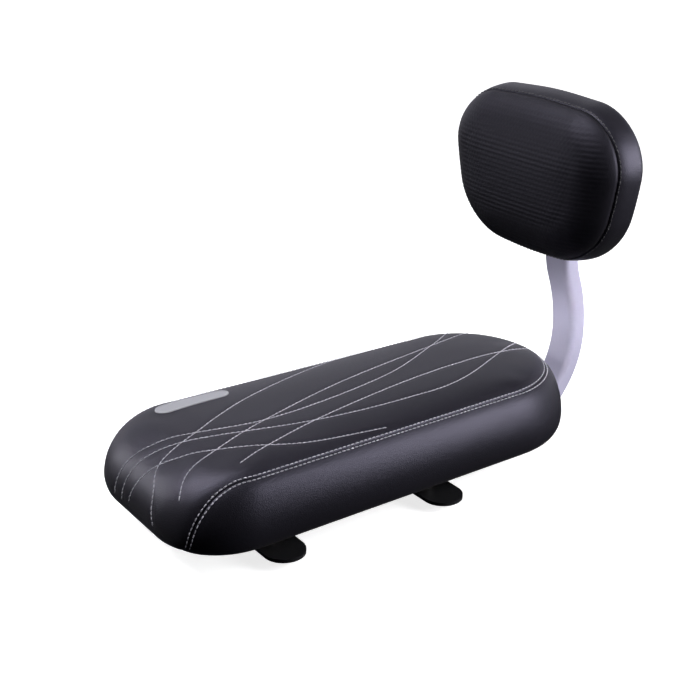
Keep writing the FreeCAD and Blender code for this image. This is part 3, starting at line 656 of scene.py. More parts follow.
def walk(reach: Sequence[float], goals: Iterable[float]) -> Iterator[Tuple[int, float]]:
    """Finds distances along a line.

    Args:
        reach: Length of the line up to each of its points.
        goals: Distances, in rising order.

    Returns:
        For each distance, the number of the point before it and the share of the way to the next point.
    """
    at = 0
    for goal in goals:
        while at < len(reach) - 2 and reach[at + 1] < goal:
            at += 1
        yield at, (goal - reach[at]) / max(reach[at + 1] - reach[at], 1e-6)


@dataclass
class Draft:
    """Cover that is being drawn up: its points, in millimetres, its faces and the panel of each face."""

    points: List[Vector]
    faces: List[Face] = field(default_factory=list)
    marks: List[Panel] = field(default_factory=list)

    def add_face(self, face: Face, panel: Panel) -> None:
        """Adds one face of a panel."""
        self.faces.append(face)
        self.marks.append(panel)

    def add_grid(self, grid: Dict[Tuple[int, int], int], across: int, along: int, panel: Panel) -> None:
        """Adds the faces of a grid of points.

        Args:
            grid: Point number at each column and row.
            across: Number of columns of faces.
            along: Number of rows of faces.
            panel: Panel that they belong to.
        """
        for a in range(across):
            for b in range(along):
                self.add_face((grid[a, b], grid[a + 1, b], grid[a + 1, b + 1], grid[a, b + 1]), panel)

    def build(self, name: str) -> bpy.types.Object:
        """Makes the cover with its panels marked on its faces.

        Args:
            name: Name of the piece.

        Returns:
            The cover.
        """
        cover = new_piece(name, self.points, self.faces)
        cover.data.polygons.foreach_set("material_index", [mark.value for mark in self.marks])
        for _ in Panel:
            cover.data.materials.append(None)
        return cover


@dataclass(frozen=True)
class Groove:
    """Section of a cover that a seam draws in. Sizes are in millimetres.

    Args:
        depth: Depth at the seam.
        hollow: Reach of the soft hollow beside the seam.
        crease: Reach of the crease in it.
        share: Share of the depth that the hollow has.
    """

    depth: float
    hollow: float
    crease: float
    share: float

    def at(self, away: float) -> float:
        """Height of the cover at a distance from the seam, below zero."""
        soft = math.exp(-((away / self.hollow) ** 2))
        sharp = math.exp(-((away / self.crease) ** 2))
        return -self.depth * (self.share * soft + (1 - self.share) * sharp)


@dataclass(frozen=True)
class Stitch:
    """Row of lock stitches.

    Args:
        length: Length of a stitch in millimetres.
        gap: Distance between two stitches.
        thick: Thickness of the thread.
        sides: Corners of the thread's section.
        steps: Rings of points along a stitch.
    """

    length: float
    gap: float
    thick: float
    sides: int = 6
    steps: int = 4

    def sew(self, name: str, rows: Iterable[List[Vector]], bare: BVHTree, skin: BVHTree) -> bpy.types.Object:
        """Sews rows of stitches onto a cover.

        Args:
            name: Name of the piece.
            rows: Closely set points of each row.
            bare: Cover before its seams were drawn in, which gives smooth directions.
            skin: Cover that the stitches lie on.

        Returns:
            One piece with all the stitches.
        """
        points: List[Vector] = []
        faces: List[Face] = []
        for row in rows:
            laid = []
            for point in row:
                near, normal = bare.find_nearest(point)[:2]
                hit = skin.ray_cast(near + normal * 4.0, -normal, 8.0)[0]
                laid.append((hit or near, normal))
            self._sew_row(laid, points, faces)
        return new_piece(name, points, faces)

    def _sew_row(self, laid: List[Tuple[Vector, Vector]], points: List[Vector], faces: List[Face]) -> None:
        """Adds the stitches of one row.

        Args:
            laid: Place and normal at closely set points of the row.
            points: Points so far, which grow.
            faces: Faces so far, which grow.
        """
        reach = lengths([place for place, _ in laid])
        pitch = self.length + self.gap
        count = int((reach[-1] + self.gap) / pitch)
        goals = [
            number * pitch + self.length * step / self.steps
            for number in range(count) for step in range(self.steps + 1)]
        rings: List[Tuple[Vector, Vector]] = []
        for at, share in walk(reach, goals):
            (here, normal), (there, next_normal) = laid[at], laid[at + 1]
            rings.append((here.lerp(there, share), normal.lerp(next_normal, share)))
            if len(rings) > self.steps:
                self._add_stitch(rings, points, faces)
                rings = []

    def _add_stitch(
        self, rings: List[Tuple[Vector, Vector]], points: List[Vector], faces: List[Face]
    ) -> None:
        """Adds one stitch, which dives into the cover at both ends.

        Args:
            rings: Place and normal along the stitch.
            points: Points so far, which grow.
            faces: Faces so far, which grow.
        """
        first = len(points)
        for step, (place, normal) in enumerate(rings):
            rise = math.sin(math.pi * step / self.steps)
            along = (rings[min(step + 1, self.steps)][0] - rings[max(step - 1, 0)][0]).normalized()
            across = along.cross(normal).normalized()
            # The thread is sunk and pulled thin at its ends and stands proud between them
            middle = place + normal * self.thick * (0.42 * rise - 0.22)
            radius = self.thick / 2 * (0.7 + 0.3 * rise)
            for side in range(self.sides):
                turn = 2 * math.pi * side / self.sides
                points.append(middle + (across * math.cos(turn) + normal * math.sin(turn)) * radius)
        for step in range(self.steps):
            for side in range(self.sides):
                low = first + step * self.sides
                nearby = (side + 1) % self.sides
                faces.append((low + side, low + nearby, low + self.sides + nearby, low + self.sides + side))
        faces.append(tuple(first + side for side in reversed(range(self.sides))))
        last = first + self.steps * self.sides
        faces.append(tuple(last + side for side in range(self.sides)))


@dataclass
class SeatCover:
    """Sewn cover of the long cushion. Sizes are in millimetres."""

    length: float = 340.0
    front_width: float = 155.0
    rear_width: float = 148.0
    corner_radius: float = 50.0
    height: float = 50.5
    belly: float = 12.0
    tuck: float = 8.0
    shoulder_run: float = 27.0
    nose_run: float = 39.0
    hem_lift: float = 0.3
    seam_height: float = 45.5
    seam_setback: float = 10.0
    seam_radius: float = 40.0
    nose_share: float = 0.0628
    corner_share: float = 0.2445
    side_share: float = 0.738
    side_fall: float = 52.0
    nose_fall: float = 61.0
    tuck_fall: float = 16.0
    step: float = 6.0
    rear_half: float = 45.0
    groove: Groove = Groove(depth=1.5, hollow=5.12, crease=0.88, share=0.45)
    line_depth: float = 0.25
    line_width: float = 1.5
    row_offset: float = 1.5
    crown: float = 1.0
    crown_run: float = 32.0
    slack: float = 1.2
    cap: float = 2.4
    thick: float = 1.4
    bare: Optional[BVHTree] = field(default=None, init=False)

    # Rows of the band as shares from hem to seam, and distances of the closer columns from the seam
    BAND_ROWS = (0.0, 0.14, 0.29, 0.44, 0.59, 0.73, 0.84, 0.92, 0.97, 1.0)
    CLOSE = (1.3, 3.2, 6.0, 10.0, 15.0)
    # Inset and rise of the rows of the hem
    HEM = ((2.0, 0.0), (9.0, 0.0), (16.5, 0.0), (18.0, 0.0), (18.0, 1.2))
    # Steps of the seam: up from the hem, round its arc, up to the bend and level to the back; finer ones
    SEAM_FOOT, SEAM_ARC, SEAM_BEND, SEAM_LEVEL = 6, 40, 30, 120
    SEAM_FINE = 900

    def _frame(self, side_inset: float, nose_inset: float) -> Tuple[Vector, Vector, float, float, float]:
        """Circles that a plan outline is drawn round.

        Args:
            side_inset: Distance inside the widest outline, at the sides and back.
            nose_inset: The same at the nose.

        Returns:
            Centres of the +X nose corner and the back, their radii, and the lean of the side between them.
        """
        small = self.corner_radius - side_inset
        large = self.rear_width / 2 - side_inset
        corner = Vector((self.front_width / 2 - self.corner_radius, small - (self.length / 2 - nose_inset)))
        rear = Vector((0.0, (self.length - self.rear_width) / 2))
        apart = rear - corner
        lean = math.atan2(apart.y, apart.x) - math.acos((small - large) / apart.length)
        return corner, rear, small, large, lean

    def plan(self, along: float, side_inset: float, nose_inset: float) -> Vector:
        """Point of the plan outline.

        Args:
            along: Share of the outline, from 0 at the nose to 1 at the back, below 0 on the -X side.
            side_inset: Distance inside the widest outline, at the sides and back.
            nose_inset: The same at the nose.

        Returns:
            X and Y.
        """
        corner, rear, small, large, lean = self._frame(side_inset, nose_inset)
        share = abs(along)
        if share < self.nose_share:
            point = Vector((corner.x * share / self.nose_share, corner.y - small))
        elif share < self.corner_share:
            part = (share - self.nose_share) / (self.corner_share - self.nose_share)
            turn = lerp(-math.pi / 2, lean, part)
            point = corner + Vector((math.cos(turn), math.sin(turn))) * small
        elif share < self.side_share:
            part = (share - self.corner_share) / (self.side_share - self.corner_share)
            edge = Vector((math.cos(lean), math.sin(lean)))
            point = (corner + edge * small).lerp(rear + edge * large, part)
        else:
            part = (share - self.side_share) / (1 - self.side_share)
            turn = lerp(lean, math.pi / 2, part)
            point = rear + Vector((math.cos(turn), math.sin(turn))) * large
        return Vector((math.copysign(point.x, along), point.y))

    def _locate(self, flat: Vector, side_inset: float, nose_inset: float) -> Tuple[float, float]:
        """Where a flat point lies by a plan outline.

        Args:
            flat: X and Y.
            side_inset: Distance inside the widest outline, at the sides and back.
            nose_inset: The same at the nose.

        Returns:
            Share of the outline next to the point, and its distance outside the outline.
        """
        corner, rear, small, large, lean = self._frame(side_inset, nose_inset)
        spot = Vector((abs(flat.x), flat.y))
        edge = Vector((math.cos(lean), math.sin(lean)))
        start = corner + edge * small
        run = rear + edge * large - start
        slide = (spot - start).dot(run) / run.length_squared
        if slide >= 1:
            turn = math.atan2(spot.y - rear.y, spot.x - rear.x)
            share = lerp(self.side_share, 1.0, (turn - lean) / (math.pi / 2 - lean))
            out = (spot - rear).length - large
        elif slide >= 0:
            share = lerp(self.corner_share, self.side_share, slide)
            out = (spot - start).dot(edge)
        elif spot.x >= corner.x:
            turn = math.atan2(spot.y - corner.y, spot.x - corner.x)
            share = lerp(self.nose_share, self.corner_share, (turn + math.pi / 2) / (lean + math.pi / 2))
            out = (spot - corner).length - small
        else:
            share = self.nose_share * spot.x / corner.x
            out = corner.y - small - spot.y
        return math.copysign(share, flat.x), out

    def place(self, along: float, turn: float) -> Vector:
        """Point of the cushion's surface.

        Args:
            along: Share of the outline, as for the plan. From 1 to 2 it goes on from the back along -X.
            turn: Turn of the edge in degrees: -90 at the underside, 0 at the belly, 90 at the top.

        Returns:
            The point.
        """
        share = along if along <= 1 else along - 2
        bend = math.radians(turn)
        ease = 1 - math.cos(bend)
        if turn < 0:
            flat = self.plan(share, self.tuck * ease, self.tuck * ease)
            return Vector((flat.x, flat.y, lerp(self.hem_lift, self.belly, 1 + math.sin(bend))))
        flat = self.plan(share, self.shoulder_run * ease, self.nose_run * ease)
        return Vector((flat.x, flat.y, lerp(self.belly, self.height, math.sin(bend))))

    def _falls(self, share: float) -> Tuple[float, float]:
        """Insets of the outline when the cover is rolled out flat.

        Args:
            share: Share of the way from the edge of the flat top, at 0, down to the hem, at 1.

        Returns:
            The inset at the sides and back, and the inset at the nose, below zero outside the widest outline.
        """
        upper, lower = min(share, 0.5) * 2, max(share - 0.5, 0.0) * 2
        side = self.side_fall * upper + self.tuck_fall * lower
        nose = self.nose_fall * upper + self.tuck_fall * lower
        return self.shoulder_run - side, self.nose_run - nose

    def _roll_out(self, along: float, turn: float) -> Vector:
        """Flat place of a point of the surface when the cover is rolled out round its flat top."""
        share = along if along <= 1 else along - 2
        return self.plan(share, *self._falls((90.0 - turn) / 180.0))

    def _roll_up(self, flat: Vector) -> Vector:
        """Point of the surface for a flat place.

        Args:
            flat: X and Y when the cover is rolled out.

        Returns:
            The point.
        """
        out = self._locate(flat, self.shoulder_run, self.nose_run)[1]
        if out <= 0:
            share = min(1.0, -out / self.crown_run)
            return Vector((flat.x, flat.y, self.height + self.crown * share * share * (3 - 2 * share)))
        low, high = 0.0, 1.0
        for _ in range(30):
            middle = (low + high) / 2
            if self._locate(flat, *self._falls(middle))[1] <= 0:
                high = middle
            else:
                low = middle
        return self.place(self._locate(flat, *self._falls(high))[0], 90.0 - 180.0 * high)

    def _turn_at(self, height: float) -> float:
        """Turn of the edge, in degrees, at a height."""
        if height < self.belly:
            return -math.degrees(math.asin((self.belly - height) / self.belly))
        return math.degrees(math.asin((height - self.belly) / (self.height - self.belly)))

    def _along_at(self, turn: float, forward: float) -> float:
        """Share of the outline at which the surface reaches a place along Y, on the +X side.

        Args:
            turn: Turn of the edge in degrees.
            forward: The place along Y.

        Returns:
            The share.
        """
        low, high = 0.0, self.side_share
        for _ in range(40):
            middle = (low + high) / 2
            if self.place(middle, turn).y < forward:
                low = middle
            else:
                high = middle
        return (low + high) / 2

    def _seam(self) -> Tuple[List[Tuple[float, float]], List[float], float]:
        """Seam on the +X side, from the hem up the nose corner and along the edge to the middle of the back.

        Returns:
            Share of the outline and turn at closely set points, the length up to each, and up to the bend.
        """
        front = self.seam_setback - self.length / 2
        low = self.seam_height - self.seam_radius
        side_view = [(front, low * i / self.SEAM_FOOT) for i in range(self.SEAM_FOOT)]
        for i in range(self.SEAM_ARC + 1):
            swing = math.pi / 2 * i / self.SEAM_ARC
            side_view.append((
                front + self.seam_radius * (1 - math.cos(swing)), low + self.seam_radius * math.sin(swing)))
        line = []
        for forward, height in side_view:
            turn = self._turn_at(height)
            line.append((self._along_at(turn, forward), turn))
        start, level = line[-1]
        line.extend((lerp(start, 1.0, i / self.SEAM_LEVEL), level) for i in range(1, self.SEAM_LEVEL + 1))
        reach = lengths([self.place(*step) for step in line])
        return line, reach, reach[self.SEAM_BEND]

    @staticmethod
    def _between(line: List[Tuple[float, float]], at: int, share: float) -> Tuple[float, float]:
        """Share of the outline and turn on the way from one point of the seam to the next."""
        (along, turn), (next_along, next_turn) = line[at], line[at + 1]
        return lerp(along, next_along, share), lerp(turn, next_turn, share)

    def seam_steps(self) -> Tuple[List[Tuple[float, float]], int, int]:
        """Places along the whole seam, from the hem on the +X side round the back to the hem on the -X side.

        Returns:
            Share of the outline and turn at each place, the steps up to the bend, and up to the back.
        """
        line, reach, bend = self._seam()
        back = reach[-1] - self.rear_half
        near_bend = [bend + d for d in self.CLOSE]
        near_back = [back - d for d in reversed(self.CLOSE)]
        gap = near_back[0] - near_bend[-1]
        count = round(gap / self.step)
        between = [near_bend[-1] + gap * i / count for i in range(1, count)]
        turn_back = [back + d for d in self.nose_marks()[1:]]
        goals = [bend * row for row in self.BAND_ROWS] + near_bend + between + near_back + [back] + turn_back
        half = [self._between(line, at, share) for at, share in walk(reach, goals)]
        half[-1] = line[-1]
        whole = half + [(2 - along, turn) for along, turn in reversed(half[:-1])]
        return whole, len(self.BAND_ROWS) - 1, len(goals) - len(turn_back) - 1

    def nose_marks(self) -> List[float]:
        """Distances of the top panel's columns from the seam, up to its middle."""
        last = self.CLOSE[-1]
        count = round((self.rear_half - last) / self.step)
        return [0.0, *self.CLOSE, *(lerp(last, self.rear_half, i / count) for i in range(1, count + 1))]

    def build(self, ornament: Sequence[List[Vector]]) -> Dict[Panel, bpy.types.Object]:
        """Makes the cover.

        Args:
            ornament: Closely set points of the lines that are sewn on the top.

        Returns:
            The top panel and the side band.
        """
        seam, bend, back = self.seam_steps()
        draft = Draft([self.place(*step) for step in seam])
        nose = self._add_top(seam, back, draft)
        band = self._add_band(seam, bend, draft)
        self._add_hem(nose, band, draft)
        cover = draft.build("seat_cover")
        hem_top = self.hem_lift + self.HEM[-1][1] + 0.1
        low = [i for i, point in enumerate(draft.points) if point.z < hem_top]
        swell(cover, sorted({*range(len(seam)), *low}), self.slack, self.cap)
        refine(cover, 2)
        self.bare = skin_of([cover])
        self._sink_seam(cover, ornament)
        return split_panels(cover, {Panel.FACE: "seat_top_cover", Panel.BORDER: "seat_side_cover"})

    def _add_top(
        self, seam: List[Tuple[float, float]], back: int, draft: Draft
    ) -> List[Tuple[float, int]]:
        """Adds the top panel, from the hem under the nose over the top to the seam at the back.

        Args:
            seam: Places along the whole seam, whose points come first.
            back: Number of steps up to the corner at the back.
            draft: Cover so far, which grows.

        Returns:
            Share of the outline and point number along the hem, from -X to +X.
        """
        steps = self.nose_marks()
        across = 2 * (len(steps) - 1)
        points = draft.points
        last = len(seam) - 1
        shares = [step / (2 * self.rear_half) for step in steps]
        shares += [1 - share for share in reversed(shares[:-1])]
        grid: Dict[Tuple[int, int], int] = {}
        flats: Dict[Tuple[int, int], Vector] = {}
        hem: List[Tuple[float, int]] = []
        for a in range(across + 1):
            along = seam[0][0] * (2 * shares[a] - 1)
            grid[a, 0] = last if a == 0 else 0 if a == across else len(points)
            if 0 < a < across:
                points.append(self.place(along, -90.0))
            flats[a, 0] = self._roll_out(along, -90.0)
            hem.append((along, grid[a, 0]))
            grid[a, back] = back + across - a
            flats[a, back] = self._roll_out(*seam[back + across - a])
        for b in range(back + 1):
            grid[across, b] = b
            grid[0, b] = last - b
            flats[across, b] = self._roll_out(*seam[b])
            flats[0, b] = self._roll_out(*seam[last - b])
        reach = lengths([flats[across, b] for b in range(back + 1)])
        low_left, low_right = flats[0, 0], flats[across, 0]
        high_left, high_right = flats[0, back], flats[across, back]
        for a in range(1, across):
            for b in range(1, back):
                u, v = shares[a], reach[b] / reach[-1]
                sides = flats[0, b].lerp(flats[across, b], u)
                ends = flats[a, 0].lerp(flats[a, back], v)
                mean = low_left.lerp(low_right, u).lerp(high_left.lerp(high_right, u), v)
                grid[a, b] = len(points)
                points.append(self._roll_up(sides + ends - mean))
        draft.add_grid(grid, across, back, Panel.FACE)
        return hem

    def _add_band(
        self, seam: List[Tuple[float, float]], bend: int, draft: Draft
    ) -> List[Tuple[float, int]]:
        """Adds the band below the seam, round both sides and the back.

        Args:
            seam: Places along the whole seam, whose points come first.
            bend: Number of steps up to the seam's bend, which is the height of the band's ends.
            draft: Cover so far, which grows.

        Returns:
            Share of the outline and point number along the hem, from +X round the back to -X.
        """
        last = len(seam) - 1
        columns = last - 2 * bend
        places = [Vector(step) for step in seam]
        points = draft.points
        reach = lengths(points[bend:bend + columns + 1])
        grid: Dict[Tuple[int, int], int] = {}
        hem: List[Tuple[float, int]] = []
        low_start, low_end = places[0], places[last]
        high_start, high_end = places[bend], places[last - bend]
        for c in range(columns + 1):
            u = reach[c] / reach[-1]
            low = low_start.lerp(low_end, u)
            for r in range(bend + 1):
                v = self.BAND_ROWS[r]
                if c == 0:
                    grid[c, r] = r
                elif c == columns:
                    grid[c, r] = last - r
                elif r == bend:
                    grid[c, r] = bend + c
                else:
                    rails = low.lerp(places[bend + c], v)
                    ends = places[r].lerp(places[last - r], u)
                    mean = low_start.lerp(low_end, u).lerp(high_start.lerp(high_end, u), v)
                    spot = rails + ends - mean
                    grid[c, r] = len(points)
                    points.append(self.place(spot.x, max(spot.y, -90.0)))
            hem.append((low.x if low.x <= 1 else low.x - 2, grid[c, 0]))
        draft.add_grid(grid, columns, bend, Panel.BORDER)
        return hem

    def _add_hem(
        self, nose: List[Tuple[float, int]], band: List[Tuple[float, int]], draft: Draft
    ) -> None:
        """Adds the turned-in hem all round the underside.

        Args:
            nose: Share of the outline and point number along the top panel's hem.
            band: The same along the band's hem.
            draft: Cover so far, which grows.
        """
        loop = nose + band[1:-1]
        upper = [number for _, number in loop]
        for inset, rise in self.HEM:
            lower = list(range(len(draft.points), len(draft.points) + len(loop)))
            for along, _ in loop:
                flat = self.plan(along, self.tuck + inset, self.tuck + inset)
                draft.points.append(Vector((flat.x, flat.y, self.hem_lift + rise)))
            for i in range(len(loop)):
                j = (i + 1) % len(loop)
                panel = Panel.FACE if i < len(nose) - 1 else Panel.BORDER
                draft.add_face((upper[j], upper[i], lower[i], lower[j]), panel)
            upper = lower

    def _seam_points(self) -> List[Vector]:
        """Closely set points of the whole seam."""
        line, reach, _ = self._seam()
        goals = [reach[-1] * i / self.SEAM_FINE for i in range(self.SEAM_FINE + 1)]
        half = [self.place(*self._between(line, at, share)) for at, share in walk(reach, goals)]
        return half + [Vector((-point.x, point.y, point.z)) for point in reversed(half[:-1])]

    def _sink_seam(self, cover: bpy.types.Object, ornament: Sequence[List[Vector]]) -> None:
        """Draws the cover in along the seam and the sewn lines.

        Args:
            cover: The whole cover.
            ornament: Closely set points of the lines that are sewn on the top.
        """
        seam = near_tree(self._seam_points())
        lines = near_tree([self.bare.find_nearest(point)[0] for line in ornament for point in line])

        def depth(point: Vector) -> float:
            """Depth of the cover at a point, below zero where it is drawn in."""
            line = math.exp(-((lines.find(point)[2] / self.line_width) ** 2))
            return self.groove.at(seam.find(point)[2]) - self.line_depth * line

        push_along_normals(cover, depth)

    def stitch_rows(self) -> List[List[Vector]]:
        """Rows of stitches on both sides of the seam.

        Returns:
            Closely set points of each row.
        """
        line = self._seam_points()
        rows: List[List[Vector]] = [[], []]
        for i, point in enumerate(line):
            normal = self.bare.find_nearest(point)[1]
            along = line[min(i + 3, len(line) - 1)] - line[max(i - 3, 0)]
            side = along.cross(normal).normalized() * self.row_offset
            if point.z > self.belly / 2:
                rows[0].append(point + side)
                rows[1].append(point - side)
        return rows


@dataclass
class BackCover:
    """Sewn cover of the backrest. Sizes are in millimetres."""

    middle: float = 176.3
    tall: float = 115.5
    top_width: float = 166.0
    bottom_width: float = 157.0
    top_radius: float = 41.0
    bottom_radius: float = 50.0
    fullness: float = 0.02
    front: float = 137.0
    belly_plane: float = 173.0
    rear: float = 179.0
    tuck: float = 7.0
    front_run: float = 31.0
    seam_plane: float = 156.0
    across: int = 44
    upright: int = 30
    dome: float = 2.2
    groove: Groove = Groove(depth=1.2, hollow=4.5, crease=0.9, share=0.4)
    row_pitch: float = 3.3
    dimple_depth: float = 0.22
    dimple_floor: float = 0.55
    plain_edge: float = 4.0
    dimple_fade: float = 6.0
    row_offset: float = 1.8
    slack: float = 1.4
    cap: float = 2.2
    thick: float = 1.4
    panel_inset: float = 10.0
    panel_thick: float = 2.0
    panel_row: float = 4.0
    line_steps: int = 6
    bare: Optional[BVHTree] = field(default=None, init=False)

    # Rows as shares from the seam to the front and to the rear, and insets of the rows of the hem
    FRONT_ROWS = (0.0, 0.06, 0.16, 0.3, 0.45, 0.6, 0.75, 0.88, 1.0)
    BORDER_ROWS = (0.05, 0.14, 0.27, 0.42, 0.57, 0.72, 0.86, 1.0)
    HEM_ROWS = (2.0, 8.0, 14.0)
    # Inset and rise of the rows of the rear panel: rolled edge, stitched groove, flat middle
    PANEL_EDGE = (
        (0.0, -2.0), (0.0, -1.0), (0.4, -0.5), (1.2, -0.1), (2.4, 0.0), (3.3, -0.2), (4.0, -0.5), (4.7, -0.2),
        (6.0, 0.0), (12.0, 0.0), (24.0, 0.0), (36.0, 0.0), (46.0, 0.0))

    def _outline(self, share: float, inset: float) -> Tuple[float, float]:
        """Point of the front outline.

        Args:
            share: Share of the way round the widest outline, from the middle of its top towards +X.
            inset: Distance inside the widest outline.

        Returns:
            X and Z.
        """
        if inset > self.front_run:
            wide, high = self._outline(share, self.front_run)
            shrink = (self.tall / 2 - inset) / (self.tall / 2 - self.front_run)
            return wide * shrink, lerp(self.middle, high, shrink)
        upper = Vector((self.top_width / 2 - self.top_radius, self.tall / 2 - self.top_radius))
        lower = Vector((self.bottom_width / 2 - self.bottom_radius, self.bottom_radius - self.tall / 2))
        apart = upper - lower
        lean = math.atan2(apart.y, apart.x) - math.acos((self.bottom_radius - self.top_radius) / apart.length)
        side = math.sqrt(apart.length_squared - (self.bottom_radius - self.top_radius) ** 2)
        runs = (
            upper.x, self.top_radius * (math.pi / 2 - lean), side,
            self.bottom_radius * (lean + math.pi / 2), lower.x)
        way = sum(runs) * 2 * min(share, 1 - share)
        part = 0
        while part < 4 and way > runs[part]:
            way -= runs[part]
            part += 1
        turn = (
            math.pi / 2, math.pi / 2 - way / self.top_radius, lean, lean - way / self.bottom_radius,
            -math.pi / 2)[part]
        out = Vector((math.cos(turn), math.sin(turn)))
        if part < 2:
            spot = (Vector((way, upper.y)) if part == 0 else upper) + out * (self.top_radius - inset)
        elif part == 2:
            spot = upper + out * (self.top_radius - inset) + Vector((out.y, -out.x)) * way
        else:
            spot = lower if part == 3 else Vector((lower.x - way, lower.y))
            spot = spot + out * (self.bottom_radius - inset)
        spot *= 1 + self.fullness * (0.4 + math.cos(8 * math.pi * share))
        return math.copysign(spot.x, 0.5 - share), self.middle + spot.y

    def turns(self) -> List[float]:
        """Shares of the outline at the columns, evenly spaced from the middle of the top, towards +X."""
        count = 2 * (self.across + self.upright)
        return [i / count for i in range(count)]

    def place(self, turn: float, bend: float) -> Vector:
        """Point of the cushion's surface.

        Args:
            turn: Share of the way round the outline.
            bend: Turn of the edge in degrees, from -90 at the rear through 0 at the belly to 90 at the front.

        Returns:
            The point.
        """
        swing = math.radians(bend)
        ease = 1 - math.cos(swing)
        inset = (self.tuck if bend < 0 else self.front_run) * ease
        goal = self.rear if bend < 0 else self.front
        wide, high = self._outline(turn, inset)
        return Vector((wide, lerp(self.belly_plane, goal, abs(math.sin(swing))), high))

    def seam_bend(self) -> float:
        """Turn of the edge, in degrees, at the seam."""
        return math.degrees(math.asin((self.belly_plane - self.seam_plane) / (self.belly_plane - self.front)))

    def build(self) -> Dict[Panel, bpy.types.Object]:
        """Makes the cover.

        Returns:
            The front panel and the border.
        """
        turns = self.turns()
        count = len(turns)
        seam = self.seam_bend()
        bends = [lerp(seam, 90.0, share) for share in self.FRONT_ROWS]
        draft = Draft([self.place(turn, bend) for bend in bends for turn in turns])
        inner = (len(bends) - 1) * count
        for low in range(0, inner, count):
            for i in range(count):
                j = (i + 1) % count
                draft.add_face((low + j, low + i, low + count + i, low + count + j), Panel.FACE)
        self._fill_front(inner, count, draft)
        upper = list(range(count))
        for share in self.BORDER_ROWS:
            ring = [self.place(turn, lerp(seam, -90.0, share)) for turn in turns]
            upper = self._add_ring(ring, upper, draft)
        for inset in self.HEM_ROWS:
            flat = [self._outline(turn, self.tuck + inset) for turn in turns]
            ring = [Vector((wide, self.rear, high)) for wide, high in flat]
            upper = self._add_ring(ring, upper, draft)
        cover = draft.build("back_cover")
        hem = [i for i, point in enumerate(draft.points) if point.y > self.rear - 0.1]
        swell(cover, sorted({*range(count), *hem}), self.slack, self.cap)
        refine(cover, 2)
        self.bare = skin_of([cover])
        self._sink_seam(cover)
        parts = split_panels(
            cover, {Panel.FACE: "backrest_front_cover", Panel.BORDER: "backrest_border_cover"})
        push_along_normals(parts[Panel.FACE], self._dimple)
        return parts

    def _fill_front(self, first: int, count: int, draft: Draft) -> None:
        """Fills the front with a grid that bulges forward.

        Args:
            first: Number of the outline's first point.
            count: Number of points in the outline.
            draft: Cover so far, which grows.
        """
        points = draft.points
        half = self.across // 2
        grid: Dict[Tuple[int, int], int] = {}
        for a in range(self.across + 1):
            grid[a, self.upright] = first + (a - half) % count
            grid[a, 0] = first + half + self.upright + self.across - a
        for b in range(self.upright + 1):
            grid[self.across, b] = first + half + self.upright - b
            grid[0, b] = first + (half + self.upright + self.across + b) % count
        corner = [points[grid[a, b]] for a in (0, self.across) for b in (0, self.upright)]
        for a in range(1, self.across):
            for b in range(1, self.upright):
                u, v = a / self.across, b / self.upright
                sides = points[grid[0, b]].lerp(points[grid[self.across, b]], u)
                ends = points[grid[a, 0]].lerp(points[grid[a, self.upright]], v)
                mean = corner[0].lerp(corner[2], u).lerp(corner[1].lerp(corner[3], u), v)
                bulge = (math.sin(math.pi * u) * math.sin(math.pi * v)) ** 0.8
                grid[a, b] = len(points)
                points.append(sides + ends - mean - Vector((0.0, self.dome * bulge, 0.0)))
        draft.add_grid(grid, self.across, self.upright, Panel.FACE)

    @staticmethod
    def _add_ring(ring: List[Vector], upper: List[int], draft: Draft) -> List[int]:
        """Adds a closed row of the border behind another.

        Args:
            ring: Points of the new row.
            upper: Point numbers of the row before it.
            draft: Cover so far, which grows.

        Returns:
            Point numbers of the new row.
        """
        lower = list(range(len(draft.points), len(draft.points) + len(ring)))
        draft.points.extend(ring)
        for i in range(len(ring)):
            j = (i + 1) % len(ring)
            draft.add_face((upper[i], upper[j], lower[j], lower[i]), Panel.BORDER)
        return lower

    def rear_panel(self) -> bpy.types.Object:
        """Makes the panel that closes the back, with rolled edges and a row of stitches drawn in.

        Returns:
            The panel.
        """
        turns = self.turns()
        count = len(turns)
        points: List[Vector] = []
        for inset, rise in self.PANEL_EDGE:
            flat = [self._outline(turn, self.panel_inset + inset) for turn in turns]
            points.extend(Vector((wide, self.rear + self.panel_thick + rise, high)) for wide, high in flat)
        faces = [tuple(reversed(range(count))), *ring_faces(len(self.PANEL_EDGE), count)]
        last = len(points) - count
        faces.append(tuple(range(last, last + count)))
        return new_piece("backrest_rear_cover", points, faces)

    def _fine_turns(self) -> List[float]:
        """Shares of the outline, more closely set than the columns."""
        turns = self.turns()
        return [
            lerp(here, there, i / self.line_steps)
            for here, there in zip(turns, turns[1:] + [1.0]) for i in range(self.line_steps)]

    def rear_row(self) -> List[Vector]:
        """Closely set points of the stitches on the rear panel."""
        flat = [self._outline(turn, self.panel_inset + self.panel_row) for turn in self._fine_turns()]
        return [Vector((wide, self.rear + self.panel_thick, high)) for wide, high in flat]

    def seam_points(self) -> List[Vector]:
        """Closely set points of the seam."""
        bend = self.seam_bend()
        return [self.place(turn, bend) for turn in self._fine_turns()]

    def _sink_seam(self, cover: bpy.types.Object) -> None:
        """Draws the cover in along the seam."""
        near = near_tree(self.seam_points())
        push_along_normals(cover, lambda point: self.groove.at(near.find(point)[2]))

    def _dimple(self, point: Vector) -> float:
        """Height of the pressed pattern at a point of the front, below zero."""
        row = point.z / self.row_pitch
        fade = min(1.0, max(0.0, (self.seam_plane - self.plain_edge - point.y) / self.dimple_fade))
        groove = 0.5 - 0.5 * math.cos(2 * math.pi * row)
        shift = 0.5 if int(math.floor(row)) % 2 else 0.0
        spot = 0.5 - 0.5 * math.cos(2 * math.pi * (point.x / self.row_pitch + shift))
        return -self.dimple_depth * fade * groove * lerp(self.dimple_floor, 1.0, spot)

